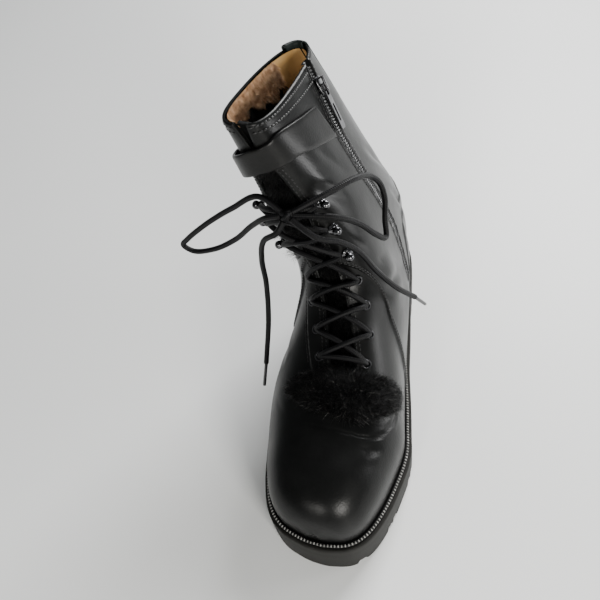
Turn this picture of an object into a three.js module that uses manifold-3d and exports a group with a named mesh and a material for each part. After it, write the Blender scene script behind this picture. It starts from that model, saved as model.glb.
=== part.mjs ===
// A lace-up ankle boot for the right foot with a side zip, fur on its front and a lugged sole.
// Millimetres. X points to the inner side of the foot, -Y to the toe and +Z up; the sole stands on Z = 0.
import * as THREE from "three";
import { mergeVertices } from "three/addons/utils/BufferGeometryUtils.js";
import Module from "manifold-3d";

const wasm = await Module();
wasm.setup();

// Main sizes
const lastLength = 267;
const ballWidth = 94;
const shaftHeight = 237;
const heelHeight = 42;
const shaftLean = 45;
const shaftForward = 47;
const heelSwing = 5.2;
// Walls and clearances
const wall = 2.4;
const overlay = 1.1;
const counterStep = 0.9;
const gap = 0.3;
const buried = 8;
// Sole
const soleLedge = 4.2;
const randWidth = 3.2;
const randHeight = 3.6;
const lugDepth = 4.5;
const grooveWidth = 5;
const lugPitch = 17;
const archRise = 12;
const insoleThickness = 3;
// Fastenings
const laceDiameter = 3.2;
const eyeletHole = 2.0;
const eyeletRim = 3.3;
const eyeletThickness = 0.9;
const hookBase = 3.6;
const hookNeck = 1.4;
const hookBall = 2.8;
const hookHeight = 7.6;
const zipSlot = 6.4;
const strapThickness = 2;
const strapStandoff = 3;
const tabThickness = 1.5;
const tongueThickness = 4;
const furDome = 8;
const furLock = 5;
// Zip slider and its pull
const sliderWidth = 8;
const sliderLength = 11;
const sliderPlate = 1.4;
const bridgeWidth = 2.2;
const bridgeReach = 4.4;
const pullBar = 1.4;
const pullWidth = 6.2;
const pullLength = 28;
const pullThickness = 1.4;

const degree = Math.PI / 180;

// Sections of the boot, from the toe tip to the collar. Columns: station, front back, front rise, front side,
// rear back, rear rise, rear side, inner half width, outer half width, widest, front roundness, rear roundness.
// Backs are shares of lastLength, rises of shaftHeight, sides and half widths of ballWidth.
// A rear rise of 0 lies the buried depth under the top of the sole.
const sections = [
  [0.0, 0.0037, 0.1899, 0.0841, 0.0037, 0, 0.0841, 0.057, 0.0624, 0.5, 2.0, 2.0],
  [0.03, 0.0187, 0.2405, 0.0816, 0.0187, 0, 0.0816, 0.1996, 0.2183, 0.6, 2.2, 3.0],
  [0.07, 0.0524, 0.2785, 0.073, 0.0524, 0, 0.073, 0.2994, 0.3275, 0.65, 2.3, 4.0],
  [0.13, 0.1124, 0.3017, 0.0602, 0.1124, 0, 0.0602, 0.3773, 0.4075, 0.68, 2.4, 5.0],
  [0.2, 0.1873, 0.3165, 0.0379, 0.1873, 0, 0.0379, 0.4415, 0.4582, 0.7, 2.3, 5.0],
  [0.28, 0.2734, 0.346, 0.014, 0.2734, 0, 0.014, 0.4894, 0.5, 0.72, 2.2, 5.0],
  [0.35, 0.3483, 0.384, 0, 0.3483, 0, 0, 0.4681, 0.5106, 0.73, 2.1, 5.0],
  [0.42, 0.4195, 0.4346, 0, 0.4345, 0, 0, 0.4277, 0.4787, 0.72, 2.0, 4.5],
  [0.48, 0.4757, 0.4831, 0, 0.5318, 0, 0, 0.3862, 0.4277, 0.68, 2.0, 4.0],
  [0.54, 0.5243, 0.5363, 0, 0.6479, 0, 0, 0.3647, 0.372, 0.62, 2.12, 3.5],
  [0.6, 0.5517, 0.5932, 0, 0.7865, 0, 0, 0.3457, 0.345, 0.49, 2.31, 3.0],
  [0.66, 0.5677, 0.6464, 0, 0.9438, 0, 0, 0.3032, 0.378, 0.35, 2.49, 2.6],
  [0.71, 0.5761, 0.6955, 0, 0.9813, 0.2954, 0, 0.266, 0.398, 0.35, 2.49, 2.3],
  [0.77, 0.5958, 0.7524, 0, 0.9745, 0.4473, 0, 0.2394, 0.352, 0.35, 2.49, 2.2],
  [0.83, 0.6098, 0.8093, 0, 0.9603, 0.5796, 0, 0.2181, 0.296, 0.35, 2.49, 2.2],
  [0.89, 0.6253, 0.874, 0, 0.9703, 0.7114, 0, 0.1915, 0.247, 0.35, 2.6, 2.2],
  [0.95, 0.6407, 0.942, 0, 0.9878, 0.8464, 0, 0.1649, 0.196, 0.35, 2.8, 2.2],
  [1.0, 0.6528, 1.0, 0, 1.0011, 0.9699, 0, 0.1383, 0.152, 0.35, 3.0, 2.2],
];

// Top of the sole. Columns: back as a share of lastLength, height as a share of heelHeight.
const soleTop = [
  [-0.06, 0.845], [0, 0.79], [0.056, 0.7], [0.187, 0.602], [0.273, 0.583], [0.348, 0.588], [0.434, 0.631],
  [0.532, 0.714], [0.648, 0.857], [0.787, 0.976], [0.925, 1], [1.1, 1],
];

// Ground side of the sole. Columns: back as a share of lastLength, height as a share of archRise.
const groundLine = [
  [-0.08, 0.5], [0, 0.25], [0.056, 0.13], [0.112, 0.05], [0.18, 0.01], [0.225, 0], [0.44, 0], [0.465, 0.35],
  [0.51, 0.8], [0.6, 1], [0.675, 1], [0.685, 0], [0.965, 0], [1.0, 0.12], [1.09, 0.35],
];

// Side of the sole from its top edge down. Columns: share of soleLedge past the upper, drop as a share of heelHeight.
const soleSide = [
  [0.86, 0], [1.1, 0.02], [1.16, 0.16], [1.02, 0.175], [1.02, 0.2], [1.2, 0.215], [1.2, 0.4],
];

// Edges of the throat. Columns: station, inner edge and outer edge in degrees round the section.
const throat = [
  [0.338, 12, 6], [0.346, 19, 0], [0.42, 15.5, -5.5], [0.49, 11, -10], [0.58, 5.5, -15], [0.64, 4, -19],
  [0.72, 7, -24], [0.8, 12, -27], [0.87, 9, -26], [0.91, 3, -14], [0.943, -2, -6], [0.97, 1, -5], [1.0, 8, -6],
  [1.06, 14, -10],
];

// Path of the zip. Columns: station, degrees round the section.
const zipPath = [
  [0.612, 107], [0.66, 106], [0.705, 104], [0.752, 101], [0.804, 101.5], [0.856, 104.2], [0.893, 106.4],
  [0.926, 109.5], [0.958, 115], [0.983, 121], [1.0, 126],
];

// Front edge of the shaft's panel. Columns: degrees round the section, station.
const panelEdge = [
  [-180, 0.42], [-110, 0.425], [-78, 0.455], [-60, 0.48], [-47, 0.518], [-35, 0.562], [-20, 0.585], [0, 0.592],
  [26, 0.588], [36, 0.578], [47, 0.558], [55, 0.531], [60, 0.504], [78, 0.472], [100, 0.44], [120, 0.425],
  [180, 0.42],
];

// Lace holes and hooks from the toe up. Columns: station and degrees of the inner one, of the outer one.
const eyeletRows = [
  [0.374, 28, 0.362, -9.5], [0.44, 32, 0.42, -16], [0.5, 31, 0.484, -24], [0.552, 25.5, 0.54, -28],
];
const hookRows = [
  [0.638, 26, 0.664, -35], [0.72, 30, 0.728, -38], [0.799, 35, 0.776, -44],
];

// Middle line of the strap, from its sewn end near the zip round the front. Columns: degrees, station, standoff share.
const strapLine = [
  [99, 0.934, 0], [75, 0.94, 0], [45, 0.941, 0], [16, 0.929, 0.05], [0, 0.921, 0.3], [-20, 0.908, 0.8],
  [-45, 0.893, 1], [-65, 0.889, 0.7], [-85, 0.889, 0.15], [-105, 0.892, 0], [-125, 0.896, 0],
];
const strapHalfStation = 0.027;

// Table through which a smooth line runs
function along(rows, at) {
  const last = rows.length - 1;
  let i = 0;
  while (i < last - 1 && at > rows[i + 1][0]) i += 1;
  const slope = (k, c) => {
    const a = rows[Math.max(k - 1, 0)];
    const b = rows[Math.min(k + 1, last)];
    return (b[c] - a[c]) / (b[0] - a[0]);
  };
  const h = rows[i + 1][0] - rows[i][0];
  const k = (at - rows[i][0]) / h;
  const out = [];
  for (let c = 1; c < rows[0].length; c += 1) {
    if (k < 0) out.push(rows[i][c] + slope(i, c) * k * h);
    else if (k > 1) out.push(rows[i + 1][c] + slope(i + 1, c) * (k - 1) * h);
    else {
      out.push(
        (2 * k ** 3 - 3 * k * k + 1) * rows[i][c] + (k ** 3 - 2 * k * k + k) * h * slope(i, c) +
          (-2 * k ** 3 + 3 * k * k) * rows[i + 1][c] + (k ** 3 - k * k) * h * slope(i + 1, c),
      );
    }
  }
  return out;
}

// Table read with straight lines between its rows
function straight(rows, at) {
  let i = 0;
  while (i < rows.length - 2 && at > rows[i + 1][0]) i += 1;
  const k = Math.min(Math.max((at - rows[i][0]) / (rows[i + 1][0] - rows[i][0]), 0), 1);
  return rows[i].slice(1).map((v, c) => v + (rows[i + 1][c + 1] - v) * k);
}

const soleTopAt = (back) => along(soleTop, back / lastLength)[0] * heelHeight;
const soft = (v, e) => 0.5 * (v + Math.sqrt(v * v + e * e));
const leanFrom = 0.443 * shaftHeight;
const leanEase = 0.105 * shaftHeight;
const leanShare = (z) => soft(z - leanFrom, leanEase) / soft(shaftHeight - leanFrom, leanEase);
const swingFrom = 0.337 * lastLength;
const swingEase = 0.112 * lastLength;
const swingShare = (s) => soft(s - swingFrom, swingEase) / soft(lastLength - swingFrom, swingEase);

const sized = sections.map((r) => {
  const rearBack = r[4] * lastLength;
  const rearRise = r[5] === 0 ? soleTopAt(rearBack) - buried : r[5] * shaftHeight;
  return [
    r[0], r[1] * lastLength, r[2] * shaftHeight, r[3] * ballWidth, rearBack, rearRise, r[6] * ballWidth,
    r[7] * ballWidth, r[8] * ballWidth, r[9], r[10], r[11],
  ];
});

// A point of the boot's outer skin
function skinPoint(station, angle) {
  const r = along(sized, station);
  const [sT, zT, xT, sB, zB, xB, inner, outer, widest, front, rear] = r;
  const fx = xT - shaftLean * leanShare(zT) - heelSwing * swingShare(sT);
  const bx = xB - shaftLean * leanShare(zB) - heelSwing * swingShare(sB);
  const fy = sT - shaftForward * leanShare(zT);
  const by = sB - shaftForward * leanShare(zB);
  const c = Math.cos(angle);
  const s = Math.sin(angle);
  const n = c > 0 ? front : rear;
  const side = s >= 0 ? inner : outer;
  const across = Math.sign(s) * side * Math.abs(s) ** (2 / n);
  const bow = Math.abs(c) ** (2 / n);
  const share = c > 0 ? widest * (1 - bow) : widest + (1 - widest) * bow;
  return new THREE.Vector3(fx + (bx - fx) * share + across, fy + (by - fy) * share, zT + (zB - zT) * share);
}

function skinNormal(station, angle) {
  const e = 0.002;
  const along1 = skinPoint(station + e, angle).sub(skinPoint(Math.max(station - e, 0), angle));
  const round = skinPoint(station, angle + e).sub(skinPoint(station, angle - e));
  return round.cross(along1).normalize();
}

function skin(station, angle, off) {
  return skinPoint(station, angle).addScaledVector(skinNormal(station, angle), off);
}

// Angle that spans a length across the skin
function angleFor(station, angle, length) {
  const e = 0.01;
  return (length * 2 * e) / skinPoint(station, angle + e).distanceTo(skinPoint(station, angle - e));
}

// Solids
function toSolid(points, triangles) {
  let volume = 0;
  for (let i = 0; i < triangles.length; i += 3) {
    const [a, b, c] = [points[triangles[i]], points[triangles[i + 1]], points[triangles[i + 2]]];
    volume += a.dot(new THREE.Vector3().crossVectors(b, c));
  }
  if (volume < 0) {
    for (let i = 0; i < triangles.length; i += 3) {
      [triangles[i], triangles[i + 1]] = [triangles[i + 1], triangles[i]];
    }
  }
  const flat = new Float32Array(points.length * 3);
  points.forEach((p, i) => p.toArray(flat, i * 3));
  return new wasm.Manifold(
    new wasm.Mesh({ numProp: 3, vertProperties: flat, triVerts: new Uint32Array(triangles) }),
  );
}

// Closed solid through rings of points, with a fan over each end
function loft(rings) {
  const points = rings.flat();
  const n = rings[0].length;
  const triangles = [];
  for (let i = 0; i < rings.length - 1; i += 1) {
    for (let j = 0; j < n; j += 1) {
      const a = i * n + j;
      const b = i * n + ((j + 1) % n);
      triangles.push(a, b, a + n, b, b + n, a + n);
    }
  }
  for (const [ring, flip] of [[0, true], [rings.length - 1, false]]) {
    const middle = new THREE.Vector3();
    rings[ring].forEach((p) => middle.add(p));
    points.push(middle.divideScalar(n));
    const m = points.length - 1;
    for (let j = 0; j < n; j += 1) {
      const a = ring * n + j;
      const b = ring * n + ((j + 1) % n);
      if (flip) triangles.push(m, b, a);
      else triangles.push(m, a, b);
    }
  }
  return toSolid(points, triangles);
}

// Closed ring-shaped solid through sections that follow each other round a loop
function hoop(sectionsRound) {
  const n = sectionsRound.length;
  const m = sectionsRound[0].length;
  const triangles = [];
  for (let i = 0; i < n; i += 1) {
    for (let j = 0; j < m; j += 1) {
      const a = i * m + j;
      const b = i * m + ((j + 1) % m);
      const c = ((i + 1) % n) * m + j;
      const d = ((i + 1) % n) * m + ((j + 1) % m);
      triangles.push(a, b, c, b, d, c);
    }
  }
  return toSolid(sectionsRound.flat(), triangles);
}

// Slab on the skin: place(a, b) gives station and angle, low and high the two depths there
function slab(place, na, nb, low, high) {
  const points = [];
  const layer = (na + 1) * (nb + 1);
  for (const depth of [low, high]) {
    for (let i = 0; i <= na; i += 1) {
      for (let j = 0; j <= nb; j += 1) {
        const [u, angle] = place(i / na, j / nb);
        points.push(skin(u, angle, typeof depth === "number" ? depth : depth(i / na, j / nb)));
      }
    }
  }
  const at = (k, i, j) => k * layer + i * (nb + 1) + j;
  const triangles = [];
  const quad = (a, b, c, d) => triangles.push(a, b, c, a, c, d);
  for (let i = 0; i < na; i += 1) {
    for (let j = 0; j < nb; j += 1) {
      quad(at(1, i, j), at(1, i + 1, j), at(1, i + 1, j + 1), at(1, i, j + 1));
      quad(at(0, i, j), at(0, i, j + 1), at(0, i + 1, j + 1), at(0, i + 1, j));
    }
  }
  for (let i = 0; i < na; i += 1) {
    quad(at(0, i, 0), at(0, i + 1, 0), at(1, i + 1, 0), at(1, i, 0));
    quad(at(0, i + 1, nb), at(0, i, nb), at(1, i, nb), at(1, i + 1, nb));
  }
  for (let j = 0; j < nb; j += 1) {
    quad(at(0, 0, j + 1), at(0, 0, j), at(1, 0, j), at(1, 0, j + 1));
    quad(at(0, na, j), at(0, na, j + 1), at(1, na, j + 1), at(1, na, j));
  }
  return toSolid(points, triangles);
}

function geometrySolid(geometry, matrix) {
  geometry.deleteAttribute("normal");
  geometry.deleteAttribute("uv");
  if (matrix) geometry.applyMatrix4(matrix);
  const merged = mergeVertices(geometry, 1e-4);
  const p = merged.attributes.position;
  const points = [];
  for (let i = 0; i < p.count; i += 1) points.push(new THREE.Vector3().fromBufferAttribute(p, i));
  const triangles = [];
  for (let i = 0; i < merged.index.count; i += 3) {
    const [a, b, c] = [merged.index.getX(i), merged.index.getX(i + 1), merged.index.getX(i + 2)];
    if (a !== b && b !== c && c !== a) triangles.push(a, b, c);
  }
  return toSolid(points, triangles);
}

function toGeometry(solid) {
  const mesh = solid.getMesh();
  const positions = new Float32Array(mesh.numVert * 3);
  for (let i = 0; i < mesh.numVert; i += 1) {
    for (let k = 0; k < 3; k += 1) positions[i * 3 + k] = mesh.vertProperties[i * mesh.numProp + k];
  }
  const geometry = new THREE.BufferGeometry();
  geometry.setAttribute("position", new THREE.BufferAttribute(positions, 3));
  geometry.setIndex(new THREE.BufferAttribute(new Uint32Array(mesh.triVerts), 1));
  return geometry;
}

const joined = (solids) => solids.reduce((a, b) => a.add(b));

// Frame on the skin: X across, Y up along the path, Z out
function skinFrame(station, angle, off, up) {
  const out = skinNormal(station, angle);
  const rise = up.clone().addScaledVector(out, -up.dot(out)).normalize();
  const across = rise.clone().cross(out);
  const frame = new THREE.Matrix4().makeBasis(across, rise, out);
  return frame.setPosition(skin(station, angle, off));
}

// Round tube along points, flat at both ends
function tube(points, diameter, sides, perStretch) {
  const curve = new THREE.CatmullRomCurve3(points, false, "centripetal");
  const shape = new THREE.Shape();
  for (let i = 0; i < sides; i += 1) {
    const a = (i / sides) * 2 * Math.PI;
    const r = diameter / 2;
    if (i === 0) shape.moveTo(r * Math.cos(a), r * Math.sin(a));
    else shape.lineTo(r * Math.cos(a), r * Math.sin(a));
  }
  const steps = Math.max(2, Math.round(perStretch * (points.length - 1)));
  return geometrySolid(
    new THREE.ExtrudeGeometry(shape, { steps, extrudePath: curve, bevelEnabled: false, curveSegments: 1 }),
  );
}

// Wide slab over everything below a line seen from the side
function sideExtrusion(outline, half) {
  const shape = new THREE.Shape(outline.map(([s, z]) => new THREE.Vector2(s, z)));
  const geometry = new THREE.ExtrudeGeometry(shape, { depth: 2 * half, steps: 1, bevelEnabled: false });
  const turn = new THREE.Matrix4().makeBasis(
    new THREE.Vector3(0, 1, 0), new THREE.Vector3(0, 0, 1), new THREE.Vector3(1, 0, 0),
  );
  turn.setPosition(-half, 0, 0);
  return geometrySolid(geometry, turn);
}

// Upper
const around = 34;
const stations = [
  0, 0.015, 0.04, 0.075, 0.12, 0.18, 0.24, 0.3, 0.35, 0.4, 0.45, 0.5, 0.55, 0.6, 0.64, 0.68, 0.715, 0.76, 0.82,
  0.88, 0.94, 1.0,
];
const ring = (u, off, count) => {
  const out = [];
  for (let j = 0; j < count; j += 1) out.push(skin(u, (j / count) * 2 * Math.PI, off));
  return out;
};
const outerLoft = (off) => loft(stations.map((u) => ring(u, off, around)));
const innerAround = 28;
const innerStations = [
  0, 0.02, 0.06, 0.12, 0.2, 0.28, 0.35, 0.42, 0.48, 0.54, 0.6, 0.65, 0.7, 0.76, 0.84, 0.92, 1.0, 1.07,
];
const innerLoft = loft(innerStations.map((u) => ring(u, -wall, innerAround)));

const panelRings = [];
const panelSteps = 8;
for (let i = 0; i <= panelSteps; i += 1) {
  const points = [];
  for (let j = 0; j < around; j += 1) {
    const deg = ((j / around) * 360 + 180) % 360 - 180;
    const start = along(panelEdge, deg)[0];
    const u = start + (1 - start) * (i / panelSteps);
    points.push(skin(u, deg * degree, overlay));
  }
  panelRings.push(points);
}
const shaftPanel = loft(panelRings);

const counter = slab(
  (a, b) => {
    const deg = 122 + 116 * b;
    const top = 0.79 - 0.1 * Math.abs(2 * b - 1) ** 2.2;
    return [0.56 + (top - 0.56) * a, deg * degree];
  },
  6, 12, -1, overlay + counterStep,
);

const throatRows = 20;
const throatCut = slab(
  (a, b) => {
    const u = throat[0][0] + (throat[throat.length - 1][0] - throat[0][0]) * a;
    const [inner, outer] = straight(throat, u);
    return [u, (outer + (inner - outer) * b) * degree];
  },
  throatRows, 3, -wall - 6, overlay + 6,
);

function zipAt(a) {
  const last = zipPath.length - 1;
  const start = zipPath[0][0];
  const u = start + (zipPath[last][0] - start) * a;
  return [u, along(zipPath, u)[0] * degree];
}
const zipBand = (half, from, to) => (a, b) => {
  const [u, angle] = zipAt(from + (to - from) * a);
  return [u, angle + (2 * b - 1) * angleFor(Math.min(u, 1), angle, half)];
};
const zipEnd = gap / (0.388 * shaftHeight);
const zipCut = slab(zipBand(zipSlot / 2, 0, 1.12), 18, 1, -wall - 5, overlay + 5);

const topLine = [];
for (let s = -0.08; s <= 1.1; s += 0.02) topLine.push([s * lastLength, soleTopAt(s * lastLength) + gap]);
const underSole = sideExtrusion(
  [[-0.08 * lastLength, -heelHeight], ...topLine, [1.1 * lastLength, -heelHeight]].reverse(), ballWidth,
);

const rimStations = [...eyeletRows, ...hookRows];
const up = (u, angle) => skinPoint(u + 0.01, angle).sub(skinPoint(u - 0.01, angle));
const holeCuts = [];
for (const [ui, ai, uo, ao] of eyeletRows) {
  for (const [u, deg] of [[ui, ai], [uo, ao]]) {
    const drill = new THREE.CylinderGeometry(eyeletHole + 0.6 + gap, eyeletHole + 0.6 + gap, 4 * wall + 6, 10);
    drill.rotateX(Math.PI / 2);
    holeCuts.push(geometrySolid(drill, skinFrame(u, deg * degree, 0, up(u, deg * degree))));
  }
}

const bootBody = outerLoft(0).add(shaftPanel).add(counter);
const upper = bootBody
  .subtract(innerLoft)
  .subtract(underSole)
  .subtract(throatCut)
  .subtract(zipCut)
  .subtract(joined(holeCuts));

// Line of the upper just above the sole, seen from above, as evenly spaced points with their outward directions
function featherLoop(count) {
  const rise = 1.5;
  const height = (u, angle) => {
    const p = skinPoint(u, angle);
    return p.z - soleTopAt(p.y) - rise;
  };
  let end = 0.66;
  while (height(end, Math.PI) < 0) end += 0.001;
  const half = { 1: [], [-1]: [] };
  for (const sign of [1, -1]) {
    for (let i = 0; i <= 150; i += 1) {
      const u = end * (0.5 - 0.5 * Math.cos((i / 150) * Math.PI));
      let low = Math.PI / 2;
      let high = Math.PI;
      for (let k = 0; k < 30; k += 1) {
        const mid = (low + high) / 2;
        if (height(u, sign * mid) > 0) low = mid;
        else high = mid;
      }
      const p = skinPoint(u, sign * low);
      half[sign].push(new THREE.Vector2(p.x, p.y));
    }
  }
  const line = [...half[1], ...half[-1].reverse()];
  const lengths = [0];
  for (let i = 0; i < line.length; i += 1) {
    lengths.push(lengths[i] + line[i].distanceTo(line[(i + 1) % line.length]));
  }
  const total = lengths[line.length];
  const even = [];
  let k = 0;
  for (let i = 0; i < count; i += 1) {
    const want = (i / count) * total;
    while (lengths[k + 1] < want) k += 1;
    const t = (want - lengths[k]) / Math.max(lengths[k + 1] - lengths[k], 1e-9);
    even.push(line[k].clone().lerp(line[(k + 1) % line.length], t));
  }
  return even.map((p, i) => {
    const a = even[(i + count - 2) % count];
    const b = even[(i + 2) % count];
    const t = b.clone().sub(a).normalize();
    return { p, n: new THREE.Vector2(t.y, -t.x) };
  });
}
const feather = featherLoop(64);
const centre = feather.reduce((a, f) => a.add(f.p), new THREE.Vector2()).divideScalar(feather.length);
const outwards = Math.sign(
  feather.reduce((a, f) => a + f.n.dot(f.p.clone().sub(centre)), 0),
);
const featherAt = (f, off) => f.p.clone().addScaledVector(f.n, off * outwards);
const sideRing = (off, heightAt) => feather.map((f) => {
  const p = featherAt(f, off);
  return new THREE.Vector3(p.x, p.y, heightAt(p.y));
});

// Solid between a stack of rings whose ends are closed straight across the foot
function stack(rings) {
  const n = rings[0].length;
  const triangles = [];
  for (let i = 0; i < rings.length - 1; i += 1) {
    for (let j = 0; j < n; j += 1) {
      const a = i * n + j;
      const b = i * n + ((j + 1) % n);
      triangles.push(a, b, a + n, b, b + n, a + n);
    }
  }
  for (const [start, flip] of [[0, true], [(rings.length - 1) * n, false]]) {
    for (let j = 0; j < n / 2; j += 1) {
      const a = start + j;
      const b = start + ((j + 1) % n);
      const c = start + ((n - j) % n);
      const d = start + (n - j - 1);
      const quads = [];
      if (a !== c) quads.push([a, b, c]);
      if (b !== d) quads.push([b, d, c]);
      for (const t of quads) triangles.push(...(flip ? [t[0], t[2], t[1]] : t));
    }
  }
  return toSolid(rings.flat(), triangles);
}

// Sole
const sideLevels = soleSide.map(([share, drop]) =>
  sideRing(share * soleLedge, (back) => soleTopAt(back) - drop * heelHeight));
const soleBlank = stack([...sideLevels, sideRing(soleLedge, () => -0.1 * heelHeight)]);
const groundCut = sideExtrusion(
  [
    [-0.08 * lastLength, -heelHeight],
    ...groundLine.map(([s, z]) => [s * lastLength, z * archRise]),
    [1.09 * lastLength, -heelHeight],
  ].reverse(),
  ballWidth,
);
const grooves = [];
const grooveAt = (share, depth, tilt) => {
  const box = new THREE.BoxGeometry(2 * ballWidth, grooveWidth, 2 * depth);
  const back = share * lastLength;
  const ground = Math.max(straight(groundLine, share)[0] * archRise, 0);
  box.rotateZ(tilt);
  box.translate(0, back, ground);
  grooves.push(geometrySolid(box));
};
const frontGrooves = Math.floor((0.41 * lastLength) / lugPitch);
for (let i = 0; i < frontGrooves; i += 1) {
  grooveAt(0.035 + (i * lugPitch) / lastLength, lugDepth, (i % 2 ? 1 : -1) * 6 * degree);
}
const heelGrooves = Math.floor((0.27 * lastLength) / lugPitch);
for (let i = 1; i <= heelGrooves; i += 1) {
  grooveAt(0.69 + (i * lugPitch) / lastLength, lugDepth, 0);
}
const spine = new THREE.BoxGeometry(grooveWidth, 0.4 * lastLength, 2 * lugDepth);
spine.translate(0, 0.24 * lastLength, 0);
grooves.push(geometrySolid(spine));
const outsole = soleBlank.subtract(groundCut).subtract(joined(grooves));

// Ribbed rand that rings the upper where it meets the sole
const randSections = feather.map((f) => {
  const profile = [[0.1, 0], [1, 0], [1.05, 0.5], [0.7, 1], [0.1, 0.9]];
  return profile.map(([w, h]) => {
    const p = featherAt(f, w * randWidth);
    return new THREE.Vector3(p.x, p.y, soleTopAt(p.y) + gap + h * (randHeight - gap));
  });
});
const clearOfUpper = loft(stations.filter((u) => u < 0.8).map((u) => ring(u, gap + 0.25, around)));
const rearPanelClear = loft(panelRings.map((points, i) => points.map((p, j) => {
  const deg = ((j / around) * 360 + 180) % 360 - 180;
  const start = along(panelEdge, deg)[0];
  const u = start + (1 - start) * (i / panelSteps);
  return skin(Math.max(u - 0.006 * (i === 0), 0), deg * degree, overlay + gap + 0.25);
})));
const counterClear = slab(
  (a, b) => {
    const deg = 120 + 120 * b;
    const top = 0.8 - 0.1 * Math.abs(2 * b - 1) ** 2.2;
    return [0.55 + (top - 0.55) * a, deg * degree];
  },
  6, 12, -1, overlay + counterStep + gap + 0.25,
);
const rand = hoop(randSections).subtract(clearOfUpper.add(rearPanelClear).add(counterClear));

// Insole
const insoleBlank = stack([
  sideRing(-wall - 0.8, (back) => soleTopAt(back) + gap + 0.4),
  sideRing(-wall - 0.8, (back) => soleTopAt(back) + gap + 0.4 + insoleThickness),
]);
const insideClear = loft(innerStations.map((u) => ring(u, -wall - gap, innerAround)));
const insole = insoleBlank.intersect(insideClear);

// Tongue: a backing under both edges of the throat, and its fur that fills the throat
let seed = 7;
function chance() {
  seed = (seed * 16807) % 2147483647;
  return seed / 2147483647;
}
function lock(u, angle, low, height, radius, droop) {
  const cone = new THREE.ConeGeometry(radius, height, 4, 1);
  cone.translate(0, height / 2, 0);
  cone.rotateX(Math.PI / 2);
  cone.rotateX(droop);
  cone.rotateZ((chance() - 0.5) * 1.2);
  return geometrySolid(cone, skinFrame(u, angle, low, up(u, angle)));
}
const tongueEnds = [0.35, 0.985];
const throatMiddle = (u) => {
  const [inner, outer] = straight(throat, u);
  return [(inner + outer) / 2, (inner - outer) / 2];
};
const backing = slab(
  (a, b) => {
    const u = tongueEnds[0] + (tongueEnds[1] - tongueEnds[0]) * a;
    const [middle, half] = throatMiddle(u);
    const reach = half + (angleFor(u, middle * degree, 13) / degree) * (1 - 0.25 * a);
    return [u, (middle + (2 * b - 1) * reach) * degree];
  },
  12, 4, -wall - gap - tongueThickness, -wall + 0.4,
).intersect(insideClear);
const furTop = -0.6;
const furStrip = slab(
  (a, b) => {
    const u = 0.356 + (0.968 - 0.356) * a;
    const [middle, half] = throatMiddle(u);
    const edge = angleFor(u, middle * degree, gap + 0.25) / degree;
    return [u, (middle + (2 * b - 1) * Math.max(half - edge, 0.6)) * degree];
  },
  throatRows, 2, -wall - gap - tongueThickness / 2, furTop,
);
const throatLocks = [];
for (let i = 0; i < 18; i += 1) {
  const u = 0.375 + 0.5 * (i / 18);
  const [middle, half] = throatMiddle(u);
  const side = (chance() - 0.5) * 1.1 * half;
  throatLocks.push(lock(u, (middle + side) * degree, furTop - 1, 2.4, 1.3, 0.5));
}
const throatClear = slab(
  (a, b) => {
    const u = throat[0][0] + (throat[throat.length - 1][0] - throat[0][0]) * a;
    const [middle, half] = throatMiddle(u);
    const edge = angleFor(u, middle * degree, gap) / degree;
    return [u, (middle + (2 * b - 1) * Math.max(half - edge, 0.5)) * degree];
  },
  throatRows, 3, -wall - 6, overlay + 6,
);
const tongue = backing.add(joined([furStrip, ...throatLocks]).intersect(throatClear));

// Fur on the vamp below the lacing
const furPlace = { station: 0.286, degrees: 18, stationReach: 0.06, degreeReach: 52 };
function furAt(r, turn) {
  return [
    furPlace.station + furPlace.stationReach * r * Math.cos(turn),
    (furPlace.degrees + furPlace.degreeReach * r * Math.sin(turn)) * degree,
  ];
}
const furRings = [];
for (const [r, off] of [
  [0.5, gap + 0.1], [1.0, gap + 0.1], [1.0, 1.6], [0.94, 0.45 * furDome], [0.8, 0.74 * furDome],
  [0.55, 0.93 * furDome], [0.25, furDome],
]) {
  const points = [];
  for (let j = 0; j < 20; j += 1) {
    const [u, angle] = furAt(r, (j / 20) * 2 * Math.PI);
    points.push(skin(u, angle, off));
  }
  furRings.push(points);
}
const furLocks = [];
for (let i = 0; i < 34; i += 1) {
  const r = 0.92 * Math.sqrt((i + 0.5) / 34);
  const turn = i * 2.39996;
  const [u, angle] = furAt(r, turn);
  const low = furDome * Math.sqrt(Math.max(1 - r ** 4, 0)) - 2.2;
  furLocks.push(lock(u, angle, Math.max(low, 0.8), furLock * (0.7 + 0.5 * chance()), 2, (chance() - 0.3) * 1.2));
}
const vampClear = outerLoft(gap + 0.1);
const fur = loft(furRings).add(joined(furLocks)).subtract(vampClear);

// Strap round the front of the shaft
const strapAt = (a) => strapLine[0][0] + (strapLine[strapLine.length - 1][0] - strapLine[0][0]) * a;
const strapRow = (a) => along(strapLine.map(([deg, u, off]) => [-deg, u, off]), -strapAt(a));
const strapLow = (a) => overlay + gap + 0.15 + strapStandoff * Math.max(strapRow(a)[1], 0);
const strapPlace = (a, b) => [strapRow(a)[0] + (2 * b - 1) * strapHalfStation, strapAt(a) * degree];
const strap = slab(strapPlace, 34, 2, strapLow, (a) => strapLow(a) + strapThickness);

// Pull tab folded over the back of the collar
const tabAngle = (b) => (-150 - 42 * b) * degree;
const tabOut = overlay + gap + 0.1;
const tabIn = -wall - gap - 0.4;
const tabCrest = 1.0075;
const tabInset = 0.12;
const tabFrom = (low, crest, side) => (a, b) => [low * (1 - a) + crest * a, tabAngle(side + (1 - 2 * side) * b)];
const tabOutside = slab(tabFrom(0.93, tabCrest, 0), 2, 5, tabOut, tabOut + tabThickness);
const tabInside = slab(tabFrom(0.95, tabCrest, 0), 2, 5, tabIn - tabThickness, tabIn);
const tabTop = slab(tabFrom(1.004, 1.01, 0.03), 1, 5, tabIn - tabThickness + tabInset, tabOut + tabThickness - tabInset);
const pullTab = joined([tabOutside, tabInside, tabTop]);

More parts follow.
